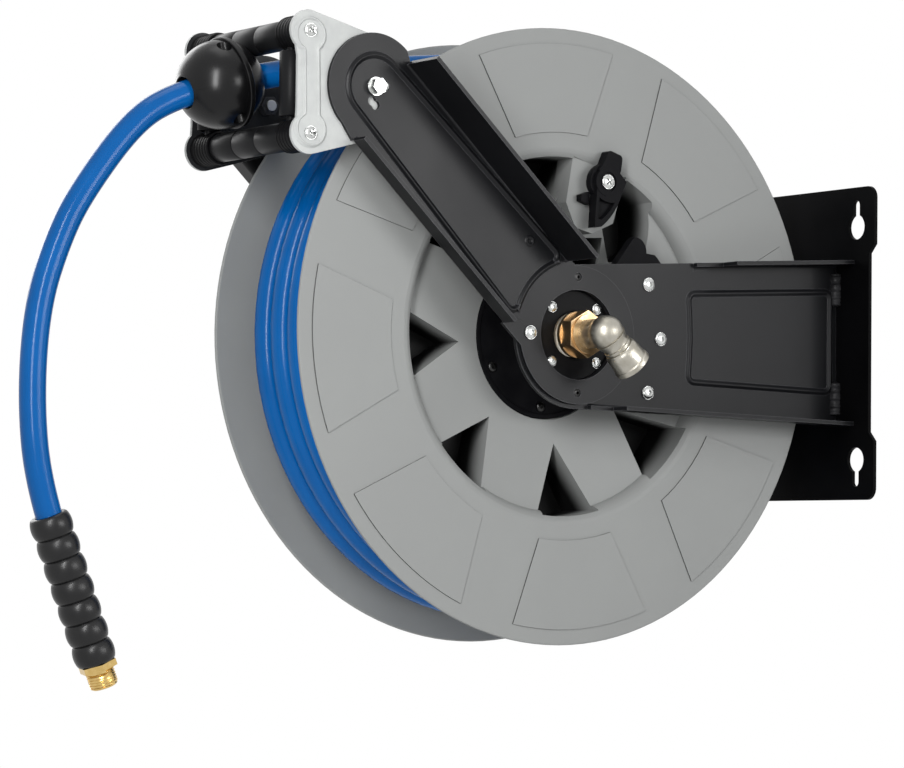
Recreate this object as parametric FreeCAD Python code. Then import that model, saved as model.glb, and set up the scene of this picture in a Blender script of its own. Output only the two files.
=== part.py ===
import FreeCAD, Part
import math
import os
from FreeCAD import Vector as V

# Wall-mounted, spring-return fire hose reel with two side arms, a grey plastic spool, a four-roller
# hose guide, a hose stop and half-inch hose. Millimetres. The origin is the centre of the wall
# plate's back face: +Y goes into the wall, X runs along the spool's axis with the water inlet on
# its +X side, and +Z is up.

# Hose
HOSE_R = 9.5
HOSE_BORE_R = 6.35

# Spool
AXIS_Y = -248.0
AXIS_Z = -2.6
FLANGE_R = 227.5
SPOOL_HALF_W = 59.7
FLANGE_T = 3.0
BARREL_R = 140.0
BARREL_T = 4.0
DISH_LIP_R = 11.0
DISH_R = BARREL_R - DISH_LIP_R
POCKET_OUT_R = DISH_R + 3.8
DISH_SEAT_X = 36.5
DISH_FLOOR_X = 29.0
DISH_WALL_T = 3.2
HUB_PLATE_R = 70.0
PATTERN_COUNT = 8
PATTERN_PHASE = 4.7
PANEL_IN_R = BARREL_R + 10.5
PANEL_OUT_R = 216.0
PANEL_IN_HALF_DEG = 12.4
PANEL_OUT_HALF_DEG = 16.1
PANEL_RISE = 1.0
LATCH_GAP = 1
POCKET_TIP_R = DISH_R - 50.0
POCKET_HALF_DEG = 11.1
POCKET_FLOOR_X = 6.0
POCKET_WALL_T = 2.5
TIE_SCREW_R = BARREL_R - 12.8
TIE_BOSS_R = 8.6
TIE_SCREW_REACH = 22.0

# Hub
DISC_R = 60.5
DISC_T = 3.0
DISC_SCREW_R = 51.7
DISC_SCREW_COUNT = 6
DISC_SCREW_PHASE = 27.0
SHAFT_R = 12.5
SHAFT_BORE_R = 6.5
SHAFT_END_X = 90.0
BUSH_T = 3.5
RUN_GAP = 0.05
SLEEVE_R = 24.0

# Arms
ARM_T = 3.0
ARM_IN_X = 73.0
ARM_HUB_R = 51.0
ARM_HOLE_R = 33.0
BASE_TOP_HUB_Z = 49.3
BASE_TOP_WALL_Z = 63.9
BASE_LOW_HUB_Z = -56.7
BASE_LOW_WALL_Z = -62.9
BASE_FLANGE_W = 22.0
GUIDE_ANGLE = 136.4
GUIDE_LENGTH = 245.2
GUIDE_HEAD_R = 38.4
GUIDE_TOP_V = 35.0
GUIDE_LOW_V = -41.5
GUIDE_TOP_W = 40.0
GUIDE_LOW_W = 18.0
BEND_R = 2.0
FOLD_LAP = 3.0
BEAD_W = 4.4
BEAD_H = 1.2
BASE_BEAD_REACH = 103.0
BASE_BEAD_UP = 32.5
BASE_BEAD_DOWN = 33.5
GUIDE_BEAD_FROM = 47.0
GUIDE_BEAD_FOOT = 30.5
GUIDE_BEAD_HEAD = 22.5
DIMPLE_R = 4.6
DIMPLE_BORE_R = 3.0
WELD_LEG = 6.0
WELD_LENGTH = 26.0

# Wall plate
PLATE_T = 3.0
TAB_STEP_HIGH = 75.0
TAB_STEP_LOW = 68.0
PLATE_CORNER_R = 9.0
KEYHOLE_SPACING_X = 200.0
KEYHOLE_SPACING_Z = 178.0
PLATE_HALF_H = KEYHOLE_SPACING_Z / 2 + 30.5
TAB_HALF = KEYHOLE_SPACING_X / 2 + 21.5
MID_HALF = TAB_HALF - 6.5
KEYHOLE_R = 9.5
KEYSLOT_R = 3.75
KEYSLOT_RISE = 16.6

# Fasteners
SCREW_R = 3.0
SCREW_GAP = 0.1
HEAD_R = 6.2
HEAD_H = 3.0
HUB_SCREW_R = 42.5
ARM_SCREW_R = 77.0
ARM_SCREW_DEG = 31.5
CAP_SCREW_HALF = 19.8
GUIDE_BOLT_R = 4.0
GUIDE_BOLT_AF = 13.0
GUIDE_WASHER_R = 8.5
GUIDE_WASHER_T = 1.6
GUIDE_BOLT_HEAD_H = 5.4
TAB_HOLE_R = 3.4

# Bearing housing and ratchet
HOUSING_T = 5.0
HOUSING_R = 50.0
EAR_R = 6.4
CAP_R = 32.5
RATCHET_T = 8.0
RATCHET_ROOT_R = 83.2
RATCHET_START_DEG = 24.0
RATCHET_STEP_DEG = 42.5
RATCHET_END_DEG = 52.4
RATCHET_LOW_R = 95.0
RATCHET_HIGH_R = 98.6

# Pawl on the spool's near side
PAWL_R = 119.6
PAWL_DEG = 74.3
PAWL_BACK_X = 57.0
PAWL_FRONT_X = 70.0
PAWL_BOSS_R = 10.6
PAWL_HUB_R = 13.5
PAWL_PAD_X = 56.4
PAWL_ARM_X = SPOOL_HALF_W + PANEL_RISE + 0.6
PAWL_PIN_R = 4.0
PAWL_SPRING_R = 7.4
PAWL_WIRE_R = 0.8
WIRE_APART = 30.0

# Roller head
LOBE_HIGH_OUT = 53.433
LOBE_HIGH_UP = 35.805
LOBE_LOW_OUT = 52.433
LOBE_LOW_DOWN = 36.495
LOBE_R = 14.8
LOBE_BOSS_R = 11.5
BRACKET_T = 3.0
BRACKET_HEAD_R = 36.0
AXLE_R = 5.0
ROLLER_R = 10.5
ROLLER_HALF = 47.6
COLLAR_R = 12.5
COLLAR_IN_X = 48.0
SIDE_PIN_R = 3.0
SIDE_ROLLER_R = 8.5
SIDE_ROLLER_X = 58.0
SIDE_ROLLER_SHIFT = -4.0
ROLLER_GAP = 0.4

# Hose stop
STOP_OUT = 29.0
STOP_UP = 39.3
STOP_TILT = 15.5
STOP_R = 32.0
STOP_RIM_R = 33.3
STOP_RIM_T = 4.0
STOP_RIM_AT = 9.0
STOP_SCREW_X = 17.5
STOP_SPLIT = 0.8

# Inlet swivel and elbow
INLET_TILT = -43.5
COLLAR_NUT_R = 17.0
NUT_X = 76.6
NUT_HEX_X = 80.0
NUT_FRONT_X = 92.0
NUT_HEX_AF = 30.6
ELBOW_X = 116.0
ELBOW_R = 10.75
ELBOW_BEND_R = 14.0
INLET_BAND_R = 14.2
INLET_BAND_L = 10.0
INLET_REACH = 37.0
INLET_THREAD_R = 9.6
INLET_THREAD_L = 14.0
SWIVEL_GROOVES = (81.2, 86.0)
SEAL_SECTION_R = 1.2
CLIP_X = 78.6
CLIP_SECTION_R = 0.7
PORT_X = 16.0
PORT_DEG = PATTERN_PHASE + 22.5

# Spring motor inside the drum
SPRING_CASE_R = 70.0
SPRING_BACK_X = -29.0
SPRING_LID_X = 3.0
SPRING_T = 1.2
SPRING_TURNS = 14
SPRING_PITCH = 7.4
CASE_WALL_T = 2.0

# Wound hose: outer turns lie in lanes over a plain core of the lower layers
COIL_R = 200.0
COIL_LANES = (-29.0, -6.0, 17.0)
COIL_CROSS_DEG = 36.0
CORE_R = 190.3
CORE_HALF_W = 50.0
LEAD_LANE = 37.0
LEAD_R = 200.6
LEAD_START_DEG = 8.0
LEAD_OFF_DEG = 94.0
LEAD_FIRST = 64.0
LEAD_MID = (20.0, -388.0, 187.0)
LEAD_BEND = 62.0
RAMP_LENGTH = 62.0
WOUND_APART = 300.0
FITTING_R = 8.6
FITTING_OUT_R = 58.0
CLAMP_IN_R = 62.0
CLAMP_OUT_R = 72.0

# Free hose, chosen by hand from the stop down to the bend restrictor
FREE_HOSE_FROM = 10.0
FREE_HOSE_FIRST = 25.3
FREE_HOSE = (
    (0.0, -576.3, 139.3),
    (0.0, -618.0, 84.5),
    (0.0, -634.9, 51.3),
    (0.0, -650.2, 5.1),
    (0.0, -654.2, -59.4),
)
FREE_HOSE_LAST = 21.7
RESTRICTOR_TOP = (0.0, -639.5, -140.0)
RESTRICTOR_LEAN = 21.3
RESTRICTOR_BEADS = 7
RESTRICTOR_PITCH = 15.7
RESTRICTOR_R = 15.0
RESTRICTOR_NECK_R = 12.4
RESTRICTOR_IN = 20.0
FERRULE_HEX_AF = 24.0
FERRULE_L = 4.5
TAIL_THREAD_R = 10.4
TAIL_THREAD_L = 13.0
TAIL_BORE_R = 6.0

NODES = {}


def keep(name, *shapes):
    """Hold one node: a single solid, or a group of separate like solids."""
    NODES[name] = shapes[0] if len(shapes) == 1 else Part.makeCompound(list(shapes))


def mirrored(shape):
    """The same part made for the other side of the spool."""
    return shape.mirror(V(0, 0, 0), V(1, 0, 0))


def at(x, r, deg):
    """A point by its place along the spool's axis, its radius and its angle from the wall side."""
    a = math.radians(deg)
    return V(x, AXIS_Y + r * math.cos(a), AXIS_Z + r * math.sin(a))


def rod(x0, x1, r, y=AXIS_Y, z=AXIS_Z):
    """A cylinder along X."""
    return Part.makeCylinder(r, x1 - x0, V(x0, y, z), V(1, 0, 0))


def tube(x0, x1, r_out, r_in, y=AXIS_Y, z=AXIS_Z):
    """A hollow cylinder along X."""
    return rod(x0, x1, r_out, y, z).cut(rod(x0 - 1, x1 + 1, r_in, y, z))


def edges_of(start, steps):
    """Edges from start by straight steps, and by arcs given as (through, to)."""
    edges = []
    here = start
    for step in steps:
        if isinstance(step, tuple):
            edges.append(Part.Arc(here, step[0], step[1]).toShape())
            here = step[1]
        else:
            edges.append(Part.makeLine(here, step))
            here = step
    return edges, here


def face_of(start, *steps):
    """A flat face inside straight steps and arcs, closed by a straight edge if they leave it open."""
    edges, here = edges_of(start, steps)
    if here.distanceToPoint(start) > 1e-6:
        edges.append(Part.makeLine(here, start))
    return Part.Face(Part.Wire(edges))


def sheet(x0, x1, start, *steps):
    """A flat plate across the X axis, from x0 to x1, whose outline is given as (y, z) points."""

    def lift(step):
        if isinstance(step[0], tuple):
            return tuple(V(x0, p[0], p[1]) for p in step)
        return V(x0, step[0], step[1])

    return face_of(lift(start), *[lift(s) for s in steps]).extrude(V(x1 - x0, 0, 0))


def turned(profile, y=AXIS_Y, z=AXIS_Z):
    """A body of revolution about an axis along X, from (x, radius) points and arcs of two of them."""

    def lift(step):
        if isinstance(step[0], tuple):
            return tuple(V(p[0], y, z + p[1]) for p in step)
        return V(step[0], y, z + step[1])

    steps = [lift(s) for s in profile]
    return face_of(steps[0], *steps[1:]).revolve(V(0, y, z), V(1, 0, 0), 360)


def hexagon(x0, x1, across, y, z, turn=0.0):
    """A hexagonal prism along X."""
    r = across / 2 / math.cos(math.radians(30))
    ring = []
    for k in range(7):
        a = math.radians(60 * k + turn)
        ring.append(V(x0, y + r * math.cos(a), z + r * math.sin(a)))
    return Part.Face(Part.makePolygon(ring)).extrude(V(x1 - x0, 0, 0))


def pan_screw(x_face, x_end, y, z, r=SCREW_R, head_r=HEAD_R, head_h=HEAD_H):
    """A domed screw along X, with its head outside x_face, its shank to x_end and a cross recess."""
    out = 1 if x_face > x_end else -1
    shank = rod(min(x_face, x_end), max(x_face, x_end), r, y, z)
    flat = head_h * 0.45
    dome = turned(
        [
            (x_face, 0),
            (x_face, head_r),
            (x_face + out * flat, head_r),
            (x_face + out * head_h * 0.85, head_r * 0.72),
            (x_face + out * head_h, head_r * 0.35),
            (x_face + out * head_h, 0),
        ],
        y,
        z,
    )
    depth = head_h * 0.6
    x_top = x_face + out * head_h
    x_low = min(x_top, x_top - out * depth)
    bar = head_r * 1.1
    wide = head_r * 0.22
    cut_a = Part.makeBox(depth + 1, bar, wide, V(x_low - (out < 0), y - bar / 2, z - wide / 2))
    cut_b = Part.makeBox(depth + 1, wide, bar, V(x_low - (out < 0), y - wide / 2, z - bar / 2))
    return shank.fuse(dome).cut(cut_a.fuse(cut_b)).removeSplitter()


def tangent_sides(c1, r1, c2, r2, side):
    """Where the outer tangent of two circles touches each, on the left (+1) or right (-1) of c1 to c2."""
    dy = c2[0] - c1[0]
    dz = c2[1] - c1[1]
    gap = math.hypot(dy, dz)
    base = math.atan2(dz, dy)
    turn = base + side * math.acos((r1 - r2) / gap)
    n = (math.cos(turn), math.sin(turn))
    return (c1[0] + r1 * n[0], c1[1] + r1 * n[1]), (c2[0] + r2 * n[0], c2[1] + r2 * n[1])


def on_circle(c, r, deg):
    """A (y, z) point on a circle."""
    a = math.radians(deg)
    return (c[0] + r * math.cos(a), c[1] + r * math.sin(a))


def folded_edge(start, end, out, x_web, x_tip, thick=ARM_T):
    """A rounded fold along an edge from start to end, standing up from a sheet at x_web to x_tip.

    start and end are (y, z) points on the fold's outer face, and out is its outward normal. The
    fold's foot laps over the sheet that it belongs to.
    """
    up = 1 if x_tip > x_web else -1
    r_out = BEND_R + thick
    s = V(0, start[0], start[1])
    n = V(0, out[0], out[1])

    def p(across, along):
        return s + n * across + V(x_web + up * along, 0, 0)

    k = math.sqrt(0.5)
    lap = r_out + FOLD_LAP
    face = face_of(
        p(-lap, 0),
        p(-r_out, 0),
        (p(-r_out + r_out * k, r_out - r_out * k), p(0, r_out)),
        p(0, abs(x_tip - x_web)),
        p(-thick, abs(x_tip - x_web)),
        p(-thick, r_out),
        (p(-r_out + BEND_R * k, r_out - BEND_R * k), p(-r_out, thick)),
        p(-lap, thick),
    )
    return face.extrude(V(0, end[0] - start[0], end[1] - start[1]))


# Wall plate: one pressed sheet with two wide tabs and four keyholes
def plate_outline():
    k = PLATE_CORNER_R * (1 - math.sqrt(0.5))
    y = -PLATE_T

    def p(x, z):
        return V(x, y, z)

    h = PLATE_HALF_H
    w = TAB_HALF
    r = PLATE_CORNER_R
    return face_of(
        p(-w + r, h),
        p(w - r, h),
        (p(w - k, h - k), p(w, h - r)),
        p(w, TAB_STEP_HIGH),
        p(MID_HALF, TAB_STEP_LOW),
        p(MID_HALF, -TAB_STEP_LOW),
        p(w, -TAB_STEP_HIGH),
        p(w, -h + r),
        (p(w - k, -h + k), p(w - r, -h)),
        p(-w + r, -h),
        (p(-w + k, -h + k), p(-w, -h + r)),
        p(-w, -TAB_STEP_HIGH),
        p(-MID_HALF, -TAB_STEP_LOW),
        p(-MID_HALF, TAB_STEP_LOW),
        p(-w, TAB_STEP_HIGH),
        p(-w, h - r),
        (p(-w + k, h - k), p(-w + r, h)),
    )


def wall_plate():
    plate = plate_outline().extrude(V(0, PLATE_T, 0))
    for sx in (-1, 1):
        for sz in (-1, 1):
            x = sx * KEYHOLE_SPACING_X / 2
            z = sz * KEYHOLE_SPACING_Z / 2
            hole = Part.makeCylinder(KEYHOLE_R, PLATE_T + 2, V(x, -PLATE_T - 1, z), V(0, 1, 0))
            end = V(x, -PLATE_T - 1, z + sz * KEYSLOT_RISE)
            tip = Part.makeCylinder(KEYSLOT_R, PLATE_T + 2, end, V(0, 1, 0))
            low = min(z, z + sz * KEYSLOT_RISE)
            corner = V(x - KEYSLOT_R, -PLATE_T - 1, low)
            slot = Part.makeBox(2 * KEYSLOT_R, PLATE_T + 2, KEYSLOT_RISE, corner)
            plate = plate.cut(hole.fuse([tip, slot]))
    return plate


# Base arms: flat web across the spool's axis, folded outward along its top and bottom edges
BASE_WALL_Y = -PLATE_T
BASE_HUB = (AXIS_Y, (BASE_TOP_HUB_Z + BASE_LOW_HUB_Z) / 2)
BASE_END_R = (BASE_TOP_HUB_Z - BASE_LOW_HUB_Z) / 2


def base_edge_z(y, z_hub, z_wall):
    """Height of the arm's straight edge at y."""
    return z_hub + (z_wall - z_hub) * (y - AXIS_Y) / (BASE_WALL_Y - AXIS_Y)


def base_arm():
    x0 = ARM_IN_X
    x1 = ARM_IN_X + ARM_T
    inset = BEND_R + ARM_T + FOLD_LAP / 2
    top_fold = (-140.6, -115.9)
    low_fold = (-237.0, -216.8)
    narrow = 8.0
    past = BASE_WALL_Y + 2.0

    def top(y):
        return base_edge_z(y, BASE_TOP_HUB_Z, BASE_TOP_WALL_Z)

    def low(y):
        return base_edge_z(y, BASE_LOW_HUB_Z, BASE_LOW_WALL_Z)

    web = sheet(
        x0,
        x1,
        (AXIS_Y, BASE_TOP_HUB_Z),
        ((AXIS_Y - BASE_END_R, BASE_HUB[1]), (AXIS_Y, BASE_LOW_HUB_Z)),
        (low_fold[0], low(low_fold[0])),
        (low_fold[0], low(low_fold[0]) + inset),
        (past, low(past) + inset),
        (past, top(past) - inset),
        (top_fold[0], top(top_fold[0]) - inset),
        (top_fold[0], top(top_fold[0])),
    )
    parts = []
    tip = x0 + BASE_FLANGE_W + ARM_T
    for fold, edge, sign in ((top_fold, top, 1), (low_fold, low, -1)):
        ends = [(y, edge(y)) for y in (fold[0], fold[1], past)]
        run = math.hypot(ends[2][0] - ends[0][0], ends[2][1] - ends[0][1])
        t = ((ends[2][0] - ends[0][0]) / run, (ends[2][1] - ends[0][1]) / run)
        out = (-t[1] * sign, t[0] * sign)
        parts.append(folded_edge(ends[0], ends[1], out, x0, x0 + narrow))
        parts.append(folded_edge(ends[1], ends[2], out, x0, tip))
    bead_y = AXIS_Y + BASE_BEAD_REACH
    half = BEAD_W / 2

    def bead_face(grow):
        z_top = BASE_BEAD_UP + grow
        z_low = -BASE_BEAD_DOWN - grow
        y_left = bead_y - grow
        y_right = BASE_WALL_Y - 6
        return sheet(
            x1,
            x1 + BEAD_H,
            (y_left, z_top),
            (y_right, z_top + 7.6),
            (y_right, z_low - 3.6),
            (y_left, z_low),
            ((y_left + 3.0, (z_top + z_low) / 2), (y_left, z_top)),
        )

    bead = bead_face(half).cut(bead_face(-half))
    arm = web.fuse(parts + [bead])
    arm = arm.cut(Part.makeBox(200, 10, 400, V(0, BASE_WALL_Y, -200)))
    arm = arm.cut(rod(x0 - 1, x1 + 1, ARM_HOLE_R))
    for deg in (-ARM_SCREW_DEG, 0, ARM_SCREW_DEG):
        p = at(0, ARM_SCREW_R, deg)
        arm = arm.cut(rod(x0 - 1, x1 + 1, SCREW_R + SCREW_GAP, p.y, p.z))
    for deg in (90, 180, 270):
        p = at(0, HUB_SCREW_R, deg)
        arm = arm.cut(rod(x0 - 1, x1 + 1, SCREW_R + SCREW_GAP, p.y, p.z))
    return arm.removeSplitter()


# Guide arms: long pressed arms over the base arms, from the hub up to the roller head
GUIDE_A = math.radians(GUIDE_ANGLE)
GUIDE_U = (math.cos(GUIDE_A), math.sin(GUIDE_A))
GUIDE_V = (math.sin(GUIDE_A), -math.cos(GUIDE_A))
GUIDE_X = ARM_IN_X + ARM_T


def along(u, v):
    """A (y, z) point u along the guide arm from the hub and v across it."""
    y = AXIS_Y + u * GUIDE_U[0] + v * GUIDE_V[0]
    z = AXIS_Z + u * GUIDE_U[1] + v * GUIDE_V[1]
    return (y, z)


HEAD = along(GUIDE_LENGTH, 0)
LOBE_HIGH = (HEAD[0] - LOBE_HIGH_OUT, HEAD[1] + LOBE_HIGH_UP)
LOBE_LOW = (HEAD[0] - LOBE_LOW_OUT, HEAD[1] - LOBE_LOW_DOWN)
SIDE_PIN_Y = (LOBE_HIGH[0] + LOBE_LOW[0]) / 2 + SIDE_ROLLER_SHIFT


def guide_arm():
    x0 = GUIDE_X
    x1 = GUIDE_X + ARM_T
    inset = BEND_R + ARM_T + FOLD_LAP / 2
    top = GUIDE_TOP_V
    low = GUIDE_LOW_V
    top_run = (44.0, GUIDE_LENGTH - 7.2)
    low_run = (52.0, GUIDE_LENGTH - 14.2)
    u_low = math.sqrt(ARM_HUB_R**2 - low**2)
    u_top = math.sqrt(ARM_HUB_R**2 - top**2)
    web = sheet(
        x0,
        x1,
        along(u_low, low),
        along(low_run[0], low),
        along(low_run[0], low + inset),
        along(low_run[1], low + inset),
        along(low_run[1], low),
        along(GUIDE_LENGTH, -GUIDE_HEAD_R),
        (along(GUIDE_LENGTH + GUIDE_HEAD_R, 0), along(GUIDE_LENGTH, GUIDE_HEAD_R)),
        along(top_run[1], top),
        along(top_run[1], top - inset),
        along(top_run[0], top - inset),
        along(top_run[0], top),
        along(u_top, top),
        (along(-ARM_HUB_R, 0), along(u_low, low)),
    )
    folds = [
        folded_edge(along(top_run[0], top), along(top_run[1], top), GUIDE_V, x0, x0 + GUIDE_TOP_W),
        folded_edge(
            along(low_run[0], low),
            along(low_run[1], low),
            (-GUIDE_V[0], -GUIDE_V[1]),
            x0,
            x0 + GUIDE_LOW_W,
        ),
    ]
    half = BEAD_W / 2

    def bead_face(grow):
        head = GUIDE_BEAD_HEAD + grow
        foot = GUIDE_BEAD_FOOT + grow
        u_foot = GUIDE_BEAD_FROM - grow
        arc_r = math.hypot(u_foot, foot)
        return sheet(
            x1,
            x1 + BEAD_H,
            along(u_foot, foot),
            along(GUIDE_LENGTH, head),
            (along(GUIDE_LENGTH + head, 0), along(GUIDE_LENGTH, -head)),
            along(u_foot, -foot),
            (along(arc_r, 0), along(u_foot, foot)),
        )

    bead = bead_face(half).cut(bead_face(-half))
    d = along(77.3, 18.4)
    dimple = tube(x1, x1 + BEAD_H, DIMPLE_R, DIMPLE_BORE_R, d[0], d[1])
    arm = web.fuse(folds + [bead, dimple])
    arm = arm.cut(rod(x0 - 1, x1 + 1, ARM_HOLE_R))
    for deg in (90, 180, 270):
        p = at(0, HUB_SCREW_R, deg)
        arm = arm.cut(rod(x0 - 1, x1 + 1, SCREW_R + SCREW_GAP, p.y, p.z))
    arm = arm.cut(rod(x0 - 1, x1 + 1, GUIDE_BOLT_R + SCREW_GAP, HEAD[0], HEAD[1]))
    a = along(GUIDE_LENGTH - 5.7, 6.8)
    arm = arm.cut(rod(x0 - 1, x1 + 1, TAB_HOLE_R, a[0], a[1]))
    for du in (-2.0, 2.0):
        b = along(GUIDE_LENGTH - 7.4 + du, -9.3)
        arm = arm.cut(rod(x0 - 1, x1 + 1, TAB_HOLE_R, b[0], b[1]))
    return arm.removeSplitter()


# Roller head: a zinc-plated bracket on each guide arm carries the two long axles
def roller_bracket():
    x0 = GUIDE_X - BRACKET_T
    x1 = GUIDE_X
    c = HEAD
    t1, t2 = tangent_sides(LOBE_HIGH, LOBE_R, c, BRACKET_HEAD_R, 1)
    b1, b2 = tangent_sides(LOBE_LOW, LOBE_R, c, BRACKET_HEAD_R, -1)
    neck_y = LOBE_LOW[0] - 10.0
    shape = sheet(
        x0,
        x1,
        t1,
        t2,
        (on_circle(c, BRACKET_HEAD_R, -10), b2),
        b1,
        (on_circle(LOBE_LOW, LOBE_R, 200), on_circle(LOBE_LOW, LOBE_R, 135)),
        (neck_y, LOBE_LOW[1] + 18),
        (neck_y, LOBE_HIGH[1] - 18),
        on_circle(LOBE_HIGH, LOBE_R, 225),
        (on_circle(LOBE_HIGH, LOBE_R, 160), t1),
    )
    bosses = [
        rod(x1, x1 + 1.0, LOBE_BOSS_R, LOBE_HIGH[0] + 0.6, LOBE_HIGH[1] - 2.8),
        rod(x1, x1 + 1.0, LOBE_BOSS_R, LOBE_LOW[0] + 0.6, LOBE_LOW[1] + 2.8),
    ]
    z0 = LOBE_LOW[1] + 4
    waist = Part.makeBox(1.0, 11, LOBE_HIGH[1] - LOBE_LOW[1] - 8, V(x1, LOBE_LOW[0] - 4.0, z0))
    tab_at = along(GUIDE_LENGTH - 5.7, 6.8)
    tab = rod(x1, x1 + ARM_T - 0.2, TAB_HOLE_R - 0.3, tab_at[0], tab_at[1])
    shape = shape.fuse(bosses + [waist, tab])
    shape = shape.cut(rod(x0 - 1, x1 + 2, GUIDE_BOLT_R + SCREW_GAP, c[0], c[1]))
    for lobe in (LOBE_HIGH, LOBE_LOW):
        shape = shape.cut(rod(x0 - 1, x1 + 2, SCREW_R + SCREW_GAP, lobe[0], lobe[1]))
    return shape.removeSplitter()


def guide_bolt():
    """Hex bolt through the arm's head, with its nut inside the bracket."""
    x_out = GUIDE_X + ARM_T
    y, z = HEAD
    x_head = x_out + GUIDE_WASHER_T
    head = hexagon(x_head, x_head + GUIDE_BOLT_HEAD_H, GUIDE_BOLT_AF, y, z, 12)
    washer = rod(x_out, x_head, GUIDE_WASHER_R, y, z)
    shank = rod(GUIDE_X - BRACKET_T - 9.0, x_out + 1.0, GUIDE_BOLT_R, y, z)
    return head.fuse([washer, shank]).removeSplitter()


def guide_nut():
    x1 = GUIDE_X - BRACKET_T
    y, z = HEAD
    return hexagon(x1 - 6.8, x1, GUIDE_BOLT_AF, y, z, 5).cut(rod(x1 - 8, x1 + 1, GUIDE_BOLT_R, y, z))


def long_axle(lobe):
    """Axle from bracket to bracket, tapped at both ends."""
    half = GUIDE_X - BRACKET_T
    bar = rod(-half, half, AXLE_R, lobe[0], lobe[1])
    for side in (-1, 1):
        inner = half - 16
        lo = min(side * inner, side * (half + 1))
        hi = max(side * inner, side * (half + 1))
        bar = bar.cut(rod(lo, hi, SCREW_R, lobe[0], lobe[1]))
    return bar


def long_roller(lobe):
    """Horizontal roller moulded in three lengths, with a groove at each seam."""
    body = tube(-ROLLER_HALF, ROLLER_HALF, ROLLER_R, AXLE_R + RUN_GAP, lobe[0], lobe[1])
    for x in (-ROLLER_HALF / 3, ROLLER_HALF / 3):
        ring = turned(
            [(x - 0.7, ROLLER_R + 0.1), (x, ROLLER_R - 0.8), (x + 0.7, ROLLER_R + 0.1)],
            lobe[0],
            lobe[1],
        )
        body = body.cut(ring)
    return body


def collar(lobe, toward):
    """Ribbed end block on a long axle, which also holds one end of a side roller's pin."""
    x0 = COLLAR_IN_X
    x1 = GUIDE_X - BRACKET_T
    profile = [(x0, AXLE_R), (x0, COLLAR_R - 1.0), (x0 + 1.0, COLLAR_R)]
    ribs = 5
    step = (x1 - x0 - 4.0) / ribs
    for k in range(ribs):
        left = x0 + 2.5 + k * step
        profile.append((left, COLLAR_R))
        profile.append((left + 0.4, COLLAR_R - 1.0))
        profile.append((left + step * 0.35, COLLAR_R - 1.0))
        profile.append((left + step * 0.35 + 0.4, COLLAR_R))
    profile.append((x1, COLLAR_R))
    profile.append((x1, AXLE_R))
    block = turned(profile, lobe[0], lobe[1])
    start = V(SIDE_ROLLER_X, SIDE_PIN_Y, lobe[1] + toward * (AXLE_R + 1.6))
    hole = Part.makeCylinder(SIDE_PIN_R, COLLAR_R + 5, start, V(0, 0, toward))
    return block.cut(hole)


def side_pin():
    z0 = LOBE_LOW[1] + AXLE_R + 1.6
    z1 = LOBE_HIGH[1] - AXLE_R - 1.6
    return Part.makeCylinder(SIDE_PIN_R, z1 - z0, V(SIDE_ROLLER_X, SIDE_PIN_Y, z0))


def side_roller():
    z0 = LOBE_LOW[1] + COLLAR_R + ROLLER_GAP
    z1 = LOBE_HIGH[1] - COLLAR_R - ROLLER_GAP
    foot = V(SIDE_ROLLER_X, SIDE_PIN_Y, z0)
    body = Part.makeCylinder(SIDE_ROLLER_R, z1 - z0, foot)
    bore = Part.makeCylinder(SIDE_PIN_R + RUN_GAP, z1 - z0 + 2, foot - V(0, 0, 1))
    return body.cut(bore)


# Spool: two moulded halves, each a flange with half of the barrel, joined at mid-width
DISH_FOOT_X = SPOOL_HALF_W - DISH_LIP_R
DISH_SLOPE = (DISH_FOOT_X - DISH_SEAT_X) / (DISH_R - DISC_R - 0.7)
DISH_LIP = (
    (DISH_FOOT_X + DISH_LIP_R * math.sqrt(0.5), BARREL_R - DISH_LIP_R * math.sqrt(0.5)),
    (SPOOL_HALF_W, BARREL_R),
)


def dish_x(r):
    """The dish's outer face at a radius, between the hub disc and the rounded rim."""
    return DISH_FOOT_X - (DISH_R - r) * DISH_SLOPE


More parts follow.
